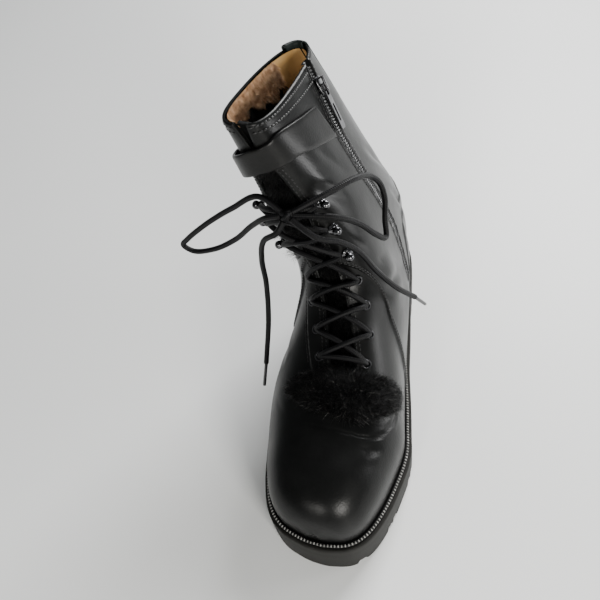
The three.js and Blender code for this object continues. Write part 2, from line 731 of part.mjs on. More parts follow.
// Zip: tape with its row of teeth in the slot, the slider and its pull
const teethRise = overlay - 0.5;
const zip = slab(
  zipBand(zipSlot / 2 - gap - 0.15, zipEnd * 2.4, 0.992), 18, 4, -wall + 0.2,
  (a, b) => (Math.abs(2 * b - 1) < 0.6 ? teethRise + 0.3 : teethRise - 0.6),
);
const sliderStation = 0.972;
const sliderAngle = along(zipPath, sliderStation)[0] * degree;
const zipUp = skinPoint(...zipAt(0.98)).sub(skinPoint(...zipAt(0.84)));
const sliderFrame = skinFrame(sliderStation, sliderAngle, overlay, zipUp);
const box = (x, y, z, low, y0 = 0) => {
  const geometry = new THREE.BoxGeometry(x, y, z);
  geometry.translate(0, y0, low + z / 2);
  return geometrySolid(geometry);
};
const plateLow = 1.0;
const plateHigh = plateLow + sliderPlate;
const axleHeight = plateHigh + gap + pullBar / 2;
const bridgeLow = axleHeight + pullBar / 2 + gap;
const bridgeTop = bridgeLow + 1.2;
const post = 1.0;
const slider = joined([
  box(sliderWidth, sliderLength, sliderPlate, plateLow),
  box(0.4 * zipSlot, 0.8 * sliderLength, plateLow - 0.1 + 0.3, 0.1),
  box(bridgeWidth, post, bridgeTop - plateHigh + 0.2, plateHigh - 0.2, bridgeReach - post / 2),
  box(bridgeWidth, post, bridgeTop - plateHigh + 0.2, plateHigh - 0.2, -bridgeReach + post / 2),
  box(bridgeWidth, 2 * bridgeReach, bridgeTop - bridgeLow, bridgeLow),
]);
const eyeHalf = bridgeWidth / 2 + 0.6;
const eyeLength = bridgeReach + 2.4;
const plate = new THREE.Shape();
plate.moveTo(-eyeHalf - 1.2, 0);
plate.lineTo(-eyeHalf - 1.2, -eyeLength - 0.6);
plate.lineTo(-pullWidth / 2, -eyeLength - 3);
plate.lineTo(-pullWidth / 2 - 0.4, -pullLength + 1.5);
plate.lineTo(-pullWidth / 2 + 1.2, -pullLength);
plate.lineTo(pullWidth / 2 - 1.2, -pullLength);
plate.lineTo(pullWidth / 2 + 0.4, -pullLength + 1.5);
plate.lineTo(pullWidth / 2, -eyeLength - 3);
plate.lineTo(eyeHalf + 1.2, -eyeLength - 0.6);
plate.lineTo(eyeHalf + 1.2, 0);
const eye = new THREE.Path();
eye.moveTo(-eyeHalf, -0.2);
eye.lineTo(eyeHalf, -0.2);
eye.lineTo(eyeHalf, -eyeLength);
eye.lineTo(-eyeHalf, -eyeLength);
plate.holes.push(eye);
const slot = new THREE.Path();
slot.moveTo(-0.9, -eyeLength - 5);
slot.lineTo(0.9, -eyeLength - 5);
slot.lineTo(0.9, -pullLength + 5);
slot.lineTo(-0.9, -pullLength + 5);
plate.holes.push(slot);
const pullPlate = new THREE.ExtrudeGeometry(plate, { depth: pullThickness, steps: 1, bevelEnabled: false });
pullPlate.translate(0, 0, -pullThickness / 2);
const axle = new THREE.CylinderGeometry(pullBar / 2, pullBar / 2, 2 * (eyeHalf + 1.2), 12);
axle.rotateZ(Math.PI / 2);
const zipPull = geometrySolid(pullPlate).add(geometrySolid(axle));

// Eyelets and hooks
const eyeletProfile = [
  [eyeletHole, -wall], [eyeletHole + 0.6, -wall], [eyeletHole + 0.6, 0], [eyeletRim, 0],
  [eyeletRim - 0.3, eyeletThickness], [eyeletHole, eyeletThickness], [eyeletHole, -wall],
].map(([r, z]) => new THREE.Vector2(r, z));
const hookProfile = [
  [0, 0], [hookBase, 0], [hookBase, 0.7], [hookNeck, 1.2], [hookNeck, hookHeight - 2 * hookBall + 0.6],
  [0.85 * hookBall, hookHeight - 1.5 * hookBall], [hookBall, hookHeight - hookBall],
  [0.8 * hookBall, hookHeight - 0.4 * hookBall], [0, hookHeight],
].map(([r, z]) => new THREE.Vector2(r, z));
function turned(profile, count) {
  const geometry = new THREE.LatheGeometry(profile, count);
  geometry.rotateX(Math.PI / 2);
  return toGeometry(geometrySolid(geometry));
}

// Lace: the bar and the crossings between both sides, joined
const laceRise = gap + 0.3 + eyeletThickness + gap + laceDiameter / 2 + 0.4;
const hookRise = overlay + gap + 1.2 + laceDiameter / 2 + 0.6;
const lacePoint = ([u, deg], off) => skin(u, deg * degree, off);
const inset = (u, deg, sign) => deg - sign * (angleFor(u, deg * degree, hookNeck + gap + laceDiameter / 2 + 1.2)) / degree;
const laceEnds = [
  ...eyeletRows.map(([ui, ai, uo, ao]) => ({ inner: [ui, ai], outer: [uo, ao], off: laceRise })),
  ...hookRows.map(([ui, ai, uo, ao]) => ({
    inner: [ui, inset(ui, ai, 1)], outer: [uo, inset(uo, ao, -1)], off: hookRise,
  })),
];
const strand = (a, b, offA, offB) => {
  const points = [];
  for (let i = 0; i <= 3; i += 1) {
    const t = i / 3;
    const u = a[0] + (b[0] - a[0]) * t;
    const deg = a[1] + (b[1] - a[1]) * t;
    points.push(lacePoint([u, deg], offA + (offB - offA) * t));
  }
  return tube(points, laceDiameter, 8, 1);
};
const strands = [strand(laceEnds[0].inner, laceEnds[0].outer, laceRise, laceRise)];
for (let i = 0; i < laceEnds.length - 1; i += 1) {
  const [a, b] = [laceEnds[i], laceEnds[i + 1]];
  strands.push(strand(a.inner, b.outer, a.off, b.off));
  strands.push(strand(a.outer, b.inner, a.off, b.off));
}
const top = laceEnds[laceEnds.length - 1];
strands.push(strand(top.inner, top.outer, top.off, top.off));
const laceCrossings = joined(strands);

// Knot, loops and hanging ends of the lace, in the place where they lie
const knotPlace = [0.795, 0];
const knotBall = new THREE.SphereGeometry(3.6, 10, 8);
knotBall.scale(1.35, 1, 0.85);
const knotFrame = skinFrame(knotPlace[0], knotPlace[1] * degree, hookRise + laceDiameter / 2 + gap + 3.6, up(...knotPlace));
const knot = geometrySolid(knotBall, knotFrame);
const knotClearSphere = new THREE.SphereGeometry(3.6 + gap, 10, 8);
knotClearSphere.scale(1.35, 1, 0.85);
const knotClear = geometrySolid(knotClearSphere, knotFrame);
const knotCentre = new THREE.Vector3().setFromMatrixPosition(knotFrame);
const loopOuter = [
  [-46.3, 127, 190.5], [-66.3, 128, 178.5], [-87.4, 128, 163.4], [-107, 128, 146.5], [-112, 128, 140.5],
  [-106, 128, 136], [-88.7, 128, 140.8], [-70.3, 128, 152.8], [-55, 125.5, 168.5], [-41, 121.5, 180.5],
];
const endOuter = [
  [-34, 116.5, 175], [-45, 118, 165], [-51.7, 121, 144.5], [-53.8, 122, 121.5], [-54.5, 114, 95], [-57.9, 100, 60],
];
const tipOuter = [-60.5, 93, 41];
const loopInner = [
  [-8, 137, 190], [2, 150, 190], [7, 168, 179], [11, 174, 169], [14, 172, 160], [16, 163, 151], [18, 156, 143],
  [14, 148, 152], [6, 141, 166], [-5, 131, 178],
];
const endInner = [
  [-10.5, 116.9, 174], [0, 122.6, 167.4], [9, 128, 156], [18, 132, 137], [28, 139, 117], [37, 152, 95],
];
const tipInner = [42, 163, 76];
const vectors = (rows) => rows.map((r) => new THREE.Vector3(...r));
const cordFrom = (rows, first, last) => {
  const points = vectors(rows);
  if (first) points.unshift(knotCentre.clone());
  if (last) points.push(knotCentre.clone());
  return tube(points, laceDiameter, 8, 1.4).subtract(knotClear);
};
const loopOuterCord = cordFrom(loopOuter, true, true);
const endOuterCord = cordFrom(endOuter, true, false);
const loopInnerCord = cordFrom(loopInner, true, true);
const endInnerCord = cordFrom(endInner, true, false);
function aglet(rows, tip) {
  const [end, last] = vectors([rows[rows.length - 1], tip]);
  const start = end.clone().addScaledVector(last.clone().sub(end).normalize(), gap + 0.15);
  return tube([start, last], 0.72 * laceDiameter, 8, 1);
}

// Scene
const looks = {
  leather: { color: 0x141416, roughness: 0.42, metalness: 0 },
  rubber: { color: 0x2b2926, roughness: 0.8, metalness: 0 },
  fur: { color: 0x0b0b0c, roughness: 0.9, metalness: 0 },
  lining: { color: 0xb07a3c, roughness: 0.85, metalness: 0 },
  metal: { color: 0x3a3b3e, roughness: 0.25, metalness: 1 },
  tape: { color: 0x101012, roughness: 0.75, metalness: 0 },
  lace: { color: 0x17171a, roughness: 0.6, metalness: 0 },
};
const group = new THREE.Group();
function put(name, geometry, look, frame) {
  const mesh = new THREE.Mesh(geometry, new THREE.MeshStandardMaterial({ ...looks[look], name: look }));
  mesh.name = name;
  if (frame) {
    frame.decompose(mesh.position, mesh.quaternion, mesh.scale);
    mesh.scale.set(1, 1, 1);
  }
  group.add(mesh);
}
put("outsole", toGeometry(outsole), "rubber");
put("rand", toGeometry(rand), "rubber");
put("upper", toGeometry(upper), "leather");
put("insole", toGeometry(insole), "lining");
put("tongue", toGeometry(tongue), "fur");
put("vamp_fur", toGeometry(fur), "fur");
put("strap", toGeometry(strap), "leather");
put("pull_tab", toGeometry(pullTab), "leather");
put("zip_tape", toGeometry(zip), "tape");
put("zip_slider", toGeometry(slider), "metal", sliderFrame);
const pullFrame = sliderFrame.clone().multiply(new THREE.Matrix4().makeTranslation(0, 0, axleHeight));
put("zip_pull", toGeometry(zipPull), "metal", pullFrame);
eyeletRows.forEach(([ui, ai, uo, ao], i) => {
  const seat = gap + 0.3;
  put(`eyelet_inner_${i + 1}`, turned(eyeletProfile, 10), "metal", skinFrame(ui, ai * degree, seat, up(ui, ai * degree)));
  put(`eyelet_outer_${i + 1}`, turned(eyeletProfile, 10), "metal", skinFrame(uo, ao * degree, seat, up(uo, ao * degree)));
});
hookRows.forEach(([ui, ai, uo, ao], i) => {
  const seat = overlay + gap + 0.1;
  put(`hook_inner_${i + 1}`, turned(hookProfile, 8), "metal", skinFrame(ui, ai * degree, seat, up(ui, ai * degree)));
  put(`hook_outer_${i + 1}`, turned(hookProfile, 8), "metal", skinFrame(uo, ao * degree, seat, up(uo, ao * degree)));
});
put("lace_crossings", toGeometry(laceCrossings), "lace");
put("lace_knot", toGeometry(knot), "lace");
put("lace_loop_outer", toGeometry(loopOuterCord), "lace");
put("lace_loop_inner", toGeometry(loopInnerCord), "lace");
put("lace_end_outer", toGeometry(endOuterCord), "lace");
put("lace_end_inner", toGeometry(endInnerCord), "lace");
put("lace_tip_outer", toGeometry(aglet(endOuter, tipOuter)), "lace");
put("lace_tip_inner", toGeometry(aglet(endInner, tipInner)), "lace");

// Middle of the boot, without the free lace, over the origin
group.updateMatrixWorld(true);
const bounds = new THREE.Box3();
for (const mesh of group.children) {
  const free = mesh.name.startsWith("lace_") && mesh.name !== "lace_crossings";
  if (!free) bounds.union(new THREE.Box3().setFromObject(mesh, true));
}
const middleOfBoot = bounds.getCenter(new THREE.Vector3());
group.position.set(-middleOfBoot.x, -middleOfBoot.y, -bounds.min.z);

export default group;
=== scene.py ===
# %% [markdown]
# A lace-up combat boot for the right foot: black leather over a shaped last, a thick rubber sole, fur on
# the vamp and in the throat, a side zip, and a waxed lace tied in a bow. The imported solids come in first.
# They fix every place and size, so each finer piece below is built on the same skin as its solid.

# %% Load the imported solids
import math

import bmesh
import bpy
import numpy as np
from mathutils import Matrix, Vector


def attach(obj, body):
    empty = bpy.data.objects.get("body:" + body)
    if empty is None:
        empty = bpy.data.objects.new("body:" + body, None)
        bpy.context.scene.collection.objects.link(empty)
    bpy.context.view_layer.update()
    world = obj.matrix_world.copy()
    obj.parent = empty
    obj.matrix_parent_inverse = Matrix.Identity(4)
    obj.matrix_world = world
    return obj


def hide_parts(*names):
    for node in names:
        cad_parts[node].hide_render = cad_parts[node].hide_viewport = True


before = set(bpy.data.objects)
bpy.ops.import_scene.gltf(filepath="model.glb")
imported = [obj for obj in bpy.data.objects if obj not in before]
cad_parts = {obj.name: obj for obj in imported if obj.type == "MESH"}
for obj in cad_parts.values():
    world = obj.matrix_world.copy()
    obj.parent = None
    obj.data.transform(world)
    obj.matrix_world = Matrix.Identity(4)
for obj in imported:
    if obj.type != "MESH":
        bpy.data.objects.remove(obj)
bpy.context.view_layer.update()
chance = np.random.default_rng(11)
print("solids", len(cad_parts))

# %% [markdown]
# A boot is cut and sewn, but its form comes from the last. The whole skin is one function of a station
# from the toe to the collar and of an angle round the section, so panels, seams, creases and trims can all
# be put in place by two plain numbers. The sections are the same as those of the solids, in millimetres.

# %% Sizes of the last
last_length = 267.0
ball_width = 94.0
shaft_height = 237.0
heel_height = 42.0
shaft_lean = 45.0
shaft_forward = 47.0
heel_swing = 5.2
wall = 2.4
overlay = 1.1
buried = 8.0
boot_shift = np.array([6.22444, -128.96574, 0.0])
sections = np.array([
    [0.0, 0.0037, 0.1899, 0.0841, 0.0037, 0, 0.0841, 0.057, 0.0624, 0.5, 2.0, 2.0],
    [0.03, 0.0187, 0.2405, 0.0816, 0.0187, 0, 0.0816, 0.1996, 0.2183, 0.6, 2.2, 3.0],
    [0.07, 0.0524, 0.2785, 0.073, 0.0524, 0, 0.073, 0.2994, 0.3275, 0.65, 2.3, 4.0],
    [0.13, 0.1124, 0.3017, 0.0602, 0.1124, 0, 0.0602, 0.3773, 0.4075, 0.68, 2.4, 5.0],
    [0.2, 0.1873, 0.3165, 0.0379, 0.1873, 0, 0.0379, 0.4415, 0.4582, 0.7, 2.3, 5.0],
    [0.28, 0.2734, 0.346, 0.014, 0.2734, 0, 0.014, 0.4894, 0.5, 0.72, 2.2, 5.0],
    [0.35, 0.3483, 0.384, 0, 0.3483, 0, 0, 0.4681, 0.5106, 0.73, 2.1, 5.0],
    [0.42, 0.4195, 0.4346, 0, 0.4345, 0, 0, 0.4277, 0.4787, 0.72, 2.0, 4.5],
    [0.48, 0.4757, 0.4831, 0, 0.5318, 0, 0, 0.3862, 0.4277, 0.68, 2.0, 4.0],
    [0.54, 0.5243, 0.5363, 0, 0.6479, 0, 0, 0.3647, 0.372, 0.62, 2.12, 3.5],
    [0.6, 0.5517, 0.5932, 0, 0.7865, 0, 0, 0.3457, 0.345, 0.49, 2.31, 3.0],
    [0.66, 0.5677, 0.6464, 0, 0.9438, 0, 0, 0.3032, 0.378, 0.35, 2.49, 2.6],
    [0.71, 0.5761, 0.6955, 0, 0.9813, 0.2954, 0, 0.266, 0.398, 0.35, 2.49, 2.3],
    [0.77, 0.5958, 0.7524, 0, 0.9745, 0.4473, 0, 0.2394, 0.352, 0.35, 2.49, 2.2],
    [0.83, 0.6098, 0.8093, 0, 0.9603, 0.5796, 0, 0.2181, 0.296, 0.35, 2.49, 2.2],
    [0.89, 0.6253, 0.874, 0, 0.9703, 0.7114, 0, 0.1915, 0.247, 0.35, 2.6, 2.2],
    [0.95, 0.6407, 0.942, 0, 0.9878, 0.8464, 0, 0.1649, 0.196, 0.35, 2.8, 2.2],
    [1.0, 0.6528, 1.0, 0, 1.0011, 0.9699, 0, 0.1383, 0.152, 0.35, 3.0, 2.2],
])
sole_top = np.array([
    [-0.06, 0.845], [0, 0.79], [0.056, 0.7], [0.187, 0.602], [0.273, 0.583], [0.348, 0.588], [0.434, 0.631],
    [0.532, 0.714], [0.648, 0.857], [0.787, 0.976], [0.925, 1], [1.1, 1],
])
print("last", last_length, "mm long")


# %% The skin as a function
def along(rows, at):
    """Smooth line through a table, straight past its ends."""
    at = np.asarray(at, float)
    t = rows[:, 0]
    v = rows[:, 1:]
    slope = np.zeros_like(v)
    slope[1:-1] = (v[2:] - v[:-2]) / (t[2:] - t[:-2])[:, None]
    slope[0] = (v[1] - v[0]) / (t[1] - t[0])
    slope[-1] = (v[-1] - v[-2]) / (t[-1] - t[-2])
    i = np.clip(np.searchsorted(t, at, side="right") - 1, 0, len(t) - 2)
    h = (t[i + 1] - t[i])[..., None]
    k = (at[..., None] - t[i][..., None]) / h
    c = np.clip(k, 0, 1)
    out = (2 * c**3 - 3 * c * c + 1) * v[i] + (c**3 - 2 * c * c + c) * h * slope[i]
    out = out + (-2 * c**3 + 3 * c * c) * v[i + 1] + (c**3 - c * c) * h * slope[i + 1]
    return out + np.where(k < 0, slope[i] * k * h, 0) + np.where(k > 1, slope[i + 1] * (k - 1) * h, 0)


def sole_top_at(back):
    return along(sole_top, np.asarray(back, float) / last_length)[..., 0] * heel_height


def soft(v, e):
    return 0.5 * (v + np.sqrt(v * v + e * e))


def lean_share(z):
    start = 0.443 * shaft_height
    ease = 0.105 * shaft_height
    return soft(z - start, ease) / soft(shaft_height - start, ease)


def swing_share(s):
    start = 0.337 * last_length
    ease = 0.112 * last_length
    return soft(s - start, ease) / soft(last_length - start, ease)


sized = sections.copy()
sized[:, [1, 4]] *= last_length
sized[:, 2] *= shaft_height
sized[:, [3, 6, 7, 8]] *= ball_width
sized[:, 5] = np.where(sections[:, 5] == 0, sole_top_at(sized[:, 4]) - buried, sections[:, 5] * shaft_height)


def skin_point(u, deg):
    """Point of the outer skin in millimetres at a station and an angle in degrees."""
    u, deg = np.broadcast_arrays(np.asarray(u, float), np.asarray(deg, float))
    r = along(sized, u)
    s_front, z_front, x_front, s_rear, z_rear, x_rear, inner, outer, widest, front, rear = [
        r[..., i] for i in range(11)
    ]
    fx = x_front - shaft_lean * lean_share(z_front) - heel_swing * swing_share(s_front)
    bx = x_rear - shaft_lean * lean_share(z_rear) - heel_swing * swing_share(s_rear)
    fy = s_front - shaft_forward * lean_share(z_front)
    by = s_rear - shaft_forward * lean_share(z_rear)
    c = np.cos(np.radians(deg))
    s = np.sin(np.radians(deg))
    n = np.where(c > 0, front, rear)
    side = np.where(s >= 0, inner, outer)
    across = np.sign(s) * side * np.abs(s) ** (2 / n)
    bow = np.abs(c) ** (2 / n)
    share = np.where(c > 0, widest * (1 - bow), widest + (1 - widest) * bow)
    x = fx + (bx - fx) * share + across
    return np.stack([x, fy + (by - fy) * share, z_front + (z_rear - z_front) * share], -1)


def skin_frame(u, deg):
    """Outward direction, and millimetres per station and per degree."""
    e = 0.002
    low = np.maximum(np.asarray(u, float) - e, 0)
    rise = (skin_point(np.asarray(u) + e, deg) - skin_point(low, deg)) / (np.asarray(u) + e - low)[..., None]
    turn = (skin_point(u, np.asarray(deg) + 0.2) - skin_point(u, np.asarray(deg) - 0.2)) / 0.4
    out = np.cross(turn, rise)
    out /= np.maximum(np.linalg.norm(out, axis=-1, keepdims=True), 1e-9)
    return out, np.linalg.norm(rise, axis=-1), np.linalg.norm(turn, axis=-1)


def skin(u, deg, off):
    u, deg, off = np.broadcast_arrays(np.asarray(u, float), np.asarray(deg, float), np.asarray(off, float))
    return skin_point(u, deg) + skin_frame(u, deg)[0] * off[..., None]


def metres(points):
    return (np.asarray(points, float) + boot_shift) / 1000


print("collar front", np.round(metres(skin_point(1.0, 0.0)), 4))

# %% [markdown]
# The camera stands where the photographer's stood: about 50 degrees above the floor, in front of the toe.
# Only its aim is turned, so that the boot fills the picture. Its length of lens follows from the same
# fit. The camera comes before the pieces, because the free ends of the lace are judged by what it sees.

# %% Camera
camera_place = metres([84.157, -95.691, 390.02])
pitch = 0.8687
yaw = -0.2403
roll = 0.0278
focal_pixels = 571.39
picture_side = 600
middle_pixel = picture_side / 2
aim_across = 205
ahead = np.array([math.sin(yaw) * math.cos(pitch), math.cos(yaw) * math.cos(pitch), -math.sin(pitch)])
right = np.array([math.cos(yaw), -math.sin(yaw), 0])
down = np.cross(ahead, right)
right, down = math.cos(roll) * right + math.sin(roll) * down, -math.sin(roll) * right + math.cos(roll) * down
aim = ahead * focal_pixels + right * (aim_across - middle_pixel)
turn = Vector(ahead).rotation_difference(Vector(aim).normalized()).to_matrix()
axes = [turn @ Vector(v) for v in (right, -down, -ahead)]
camera_data = bpy.data.cameras.new("camera")
sensor_width = 36
camera_data.lens = sensor_width * focal_pixels / picture_side
camera_data.sensor_width = sensor_width
camera_data.clip_start = 0.01
camera = bpy.data.objects.new("camera", camera_data)
bpy.context.collection.objects.link(camera)
turned = Matrix([[axes[c][r] for c in range(3)] for r in range(3)]).to_4x4()
camera.matrix_world = Matrix.Translation(Vector(camera_place)) @ turned
bpy.context.scene.camera = camera
print("camera", np.round(camera_place, 3), "lens", round(camera_data.lens, 2))


# %% [markdown]
# Every material is a small network of nodes. Leather has a fine grain, broad soft waves and a sheen that
# changes from place to place. Rubber is dull and dusty. Fur is dark and glossy along the hair. Patterns read
# Object coordinates in metres, so they keep their real size on every piece.

# %% Helper that starts a finish
def new_finish(name, colour, roughness, metallic=0.0, specular=0.5, tint=1.0):
    material = bpy.data.materials.new(name)
    material.use_nodes = True
    tree = material.node_tree
    shader = tree.nodes["Principled BSDF"]
    shader.inputs["Base Color"].default_value = (*colour, 1)
    shader.inputs["Roughness"].default_value = roughness
    shader.inputs["Metallic"].default_value = metallic
    shader.inputs["Specular IOR Level"].default_value = specular
    shader.inputs["Specular Tint"].default_value = (tint, tint, tint, 1)
    place = tree.nodes.new("ShaderNodeTexCoord")
    return material, tree, shader, place.outputs["Object"]


def noise(tree, place, scale, detail=3.0, rough=0.5):
    node = tree.nodes.new("ShaderNodeTexNoise")
    node.inputs["Scale"].default_value = scale
    node.inputs["Detail"].default_value = detail
    node.inputs["Roughness"].default_value = rough
    tree.links.new(place, node.inputs["Vector"])
    return node.outputs["Fac"]


def spread(tree, value, low, high, to_low, to_high):
    node = tree.nodes.new("ShaderNodeMapRange")
    node.inputs["From Min"].default_value = low
    node.inputs["From Max"].default_value = high
    node.inputs["To Min"].default_value = to_low
    node.inputs["To Max"].default_value = to_high
    tree.links.new(value, node.inputs["Value"])
    return node.outputs["Result"]


def two_tone(tree, shader, value, dark, light):
    node = tree.nodes.new("ShaderNodeMix")
    node.data_type = "RGBA"
    node.inputs["A"].default_value = (*dark, 1)
    node.inputs["B"].default_value = (*light, 1)
    tree.links.new(value, node.inputs["Factor"])
    tree.links.new(node.outputs["Result"], shader.inputs["Base Color"])


def relief(tree, shader, value, height, strength=1.0, under=None):
    node = tree.nodes.new("ShaderNodeBump")
    node.inputs["Distance"].default_value = height
    node.inputs["Strength"].default_value = strength
    tree.links.new(value, node.inputs["Height"])
    if under is not None:
        tree.links.new(under, node.inputs["Normal"])
    tree.links.new(node.outputs["Normal"], shader.inputs["Normal"])
    return node.outputs["Normal"]


# %% Leather
def leather_finish(name, dark, light, low_rough, high_rough):
    material, tree, shader, place = new_finish(name, dark, low_rough, specular=0.2, tint=0.8)
    cells = tree.nodes.new("ShaderNodeTexVoronoi")
    cells.inputs["Scale"].default_value = 950
    tree.links.new(place, cells.inputs["Vector"])
    wave = relief(tree, shader, noise(tree, place, 42, 2), 0.0009, 0.4)
    relief(tree, shader, cells.outputs["Distance"], 0.00012, 0.35, wave)
    worn = noise(tree, place, 60, 5, 0.6)
    two_tone(tree, shader, spread(tree, worn, 0.35, 0.75, 0, 1), dark, light)
    tree.links.new(spread(tree, noise(tree, place, 25, 4), 0.3, 0.7, low_rough, high_rough),
                   shader.inputs["Roughness"])
    return material


upper_leather = leather_finish("black leather", (0.0022, 0.0023, 0.0022), (0.0046, 0.0048, 0.0046), 0.28, 0.4)
strap_leather = leather_finish("strap leather", (0.004, 0.004, 0.004), (0.01, 0.01, 0.0095), 0.3, 0.42)
tab_leather = leather_finish("tab leather", (0.006, 0.01, 0.009), (0.012, 0.016, 0.014), 0.45, 0.6)
print("leathers made")


# %% Rubber, fur, lining, metal, lace and thread
def rubber_finish(name, dark, light, rough):
    material, tree, shader, place = new_finish(name, dark, rough, specular=0.3, tint=0.5)
    dust = noise(tree, place, 180, 6, 0.7)
    two_tone(tree, shader, spread(tree, dust, 0.4, 0.75, 0, 1), dark, light)
    relief(tree, shader, noise(tree, place, 1400, 2), 0.00012, 0.5)
    return material


sole_rubber = rubber_finish("sole rubber", (0.006, 0.0057, 0.0047), (0.0105, 0.01, 0.0084), 0.62)
rand_rubber = rubber_finish("rand rubber", (0.004, 0.004, 0.004), (0.01, 0.01, 0.01), 0.45)


def plain_finish(name, dark, light, rough, scale, bump, metallic=0.0, tint=1.0):
    """Mottled finish: scale is that of the mottling, bump its height in metres."""
    material, tree, shader, place = new_finish(name, dark, rough, metallic, 0.5, tint)
    mottle = noise(tree, place, scale, 4)
    two_tone(tree, shader, spread(tree, mottle, 0.35, 0.7, 0, 1), dark, light)
    relief(tree, shader, mottle, bump, 0.5)
    return material


black_fur = plain_finish(
    "black fur", (0.0008, 0.0008, 0.0009), (0.003, 0.003, 0.0031), 0.34, 700, 0.0001, 0.0, 0.35)
# Lighter strands mixed into the black fur: painted glints, highlights of light along the hair.
painted_glint_fur = plain_finish("fur painted glint", (0.02, 0.02, 0.019), (0.3, 0.295, 0.28), 0.28, 900, 0.0001)
fur_backing = plain_finish(
    "fur backing", (0.001, 0.001, 0.001), (0.003, 0.003, 0.003), 0.9, 600, 0.0004, 0.0, 0.3)
tan_fur = plain_finish("tan suede nap", (0.36, 0.19, 0.09), (0.78, 0.54, 0.33), 0.55, 330, 0.0001)
ochre_lining = plain_finish("ochre lining", (0.5, 0.29, 0.1), (0.66, 0.41, 0.17), 0.55, 60, 0.0002, 0.0, 0.7)
insole_cloth = plain_finish("insole cloth", (0.1, 0.06, 0.03), (0.16, 0.1, 0.05), 0.85, 300, 0.0002)
dark_nickel = plain_finish("dark nickel", (0.07, 0.07, 0.074), (0.13, 0.13, 0.135), 0.2, 140, 0.00003, 1.0)
eyelet_metal = plain_finish("eyelet metal", (0.03, 0.03, 0.032), (0.06, 0.06, 0.063), 0.32, 140, 0.00003, 1.0)
# Light grey on the rand's ribs is painted highlight on their crests; the rubber itself is black like the
# bead.
rib_painted_highlight = plain_finish("rib painted highlight", (0.12, 0.118, 0.11), (0.34, 0.335, 0.32), 0.4, 500, 0.00005)
zip_black = plain_finish(
    "zip coil", (0.003, 0.003, 0.0035), (0.009, 0.009, 0.01), 0.24, 400, 0.0001, 0.0, 0.7)
zip_cloth = plain_finish("zip tape cloth", (0.01, 0.01, 0.011), (0.02, 0.02, 0.021), 0.7, 900, 0.0002)
thread = plain_finish(
    "black thread", (0.003, 0.003, 0.003), (0.009, 0.009, 0.0088), 0.35, 900, 0.0001, 0.0, 0.7)
lace_tip_finish = plain_finish("lace tip", (0.01, 0.01, 0.011), (0.02, 0.02, 0.022), 0.3, 200, 0.00005)


def lace_finish():
    """Round waxed cord: the braid follows the cord's own length and turn, kept in its UV map."""
    strands_round = 4
    crossings_per_mm = 0.42
    material, tree, shader, _ = new_finish("waxed lace", (0.003, 0.003, 0.0035), 0.5, specular=0.2, tint=0.7)
    coords = tree.nodes.new("ShaderNodeUVMap")
    coords.uv_map = "along"
    split = tree.nodes.new("ShaderNodeSeparateXYZ")
    tree.links.new(coords.outputs["UV"], split.inputs["Vector"])
    waves = []
    for sign in (1, -1):
        mix = tree.nodes.new("ShaderNodeMath")
        mix.operation = "MULTIPLY_ADD"
        mix.inputs[1].default_value = 2 * math.pi * strands_round * sign
        tree.links.new(split.outputs["Y"], mix.inputs[0])
        run = tree.nodes.new("ShaderNodeMath")
        run.operation = "MULTIPLY"
        run.inputs[1].default_value = 2 * math.pi * crossings_per_mm
        tree.links.new(split.outputs["X"], run.inputs[0])
        tree.links.new(run.outputs["Value"], mix.inputs[2])
        wave = tree.nodes.new("ShaderNodeMath")
        wave.operation = "SINE"
        tree.links.new(mix.outputs["Value"], wave.inputs[0])
        waves.append(wave.outputs["Value"])
    braid = tree.nodes.new("ShaderNodeMath")
    braid.operation = "MULTIPLY"
    tree.links.new(waves[0], braid.inputs[0])
    tree.links.new(waves[1], braid.inputs[1])
    # The braid's colour follows its relief: lighter on the raised crossings, darker in the grooves, painted
    # highlight and shade.
    two_tone(tree, shader, spread(tree, braid.outputs["Value"], -1, 1, 0, 1),
             (0.0015, 0.0015, 0.0018), (0.005, 0.005, 0.0056))
    relief(tree, shader, braid.outputs["Value"], 0.00018, 0.6)
    return material


waxed_lace = lace_finish()
print("materials", len(bpy.data.materials))


# %% [markdown]
# Two helpers carry most of the modelling. One turns arrays of points into a mesh object. The other is a
# Geometry Nodes tree that puts a small shape on every point of a cloud, turned and stretched by two named
# attributes: it makes the ribs, the stitches, the zip's teeth, the eyelets, the hooks and all the hair. A
# third attribute bends each copy over, in step with the square of a share that is kept on the shape's own
# points. Shapes without that share stay straight.

# %% Helpers for meshes
def new_piece(name, points, faces, finish, smooth=True):
    mesh = bpy.data.meshes.new(name)
    mesh.from_pydata([tuple(p) for p in points], [], [tuple(f) for f in faces])
    mesh.materials.append(finish)
    mesh.polygons.foreach_set("use_smooth", [smooth] * len(mesh.polygons))
    mesh.update()
    piece = bpy.data.objects.new(name, mesh)
    bpy.context.collection.objects.link(piece)
    return piece


def grid_faces(rows, columns, round_rows=False, round_columns=False):
    i = np.arange(rows if round_rows else rows - 1)
    j = np.arange(columns if round_columns else columns - 1)
    i, j = np.meshgrid(i, j, indexing="ij")
    a = i * columns + j
    b = i * columns + (j + 1) % columns
    c = ((i + 1) % rows) * columns + (j + 1) % columns
    d = ((i + 1) % rows) * columns + j
    return np.stack([a, b, c, d], -1).reshape(-1, 4)


def tidy_mesh(piece, merge=0.00002):
    """Doubles merged and normals turned outwards."""
    work = bmesh.new()
    work.from_mesh(piece.data)
    bmesh.ops.remove_doubles(work, verts=work.verts, dist=merge)
    bmesh.ops.recalc_face_normals(work, faces=work.faces)
    work.to_mesh(piece.data)
    work.free()
    return piece


def apply_modifiers(piece):
    evaluated = piece.evaluated_get(bpy.context.evaluated_depsgraph_get())
    made = bpy.data.meshes.new_from_object(evaluated)
    piece.modifiers.clear()
    piece.data = made
    return piece


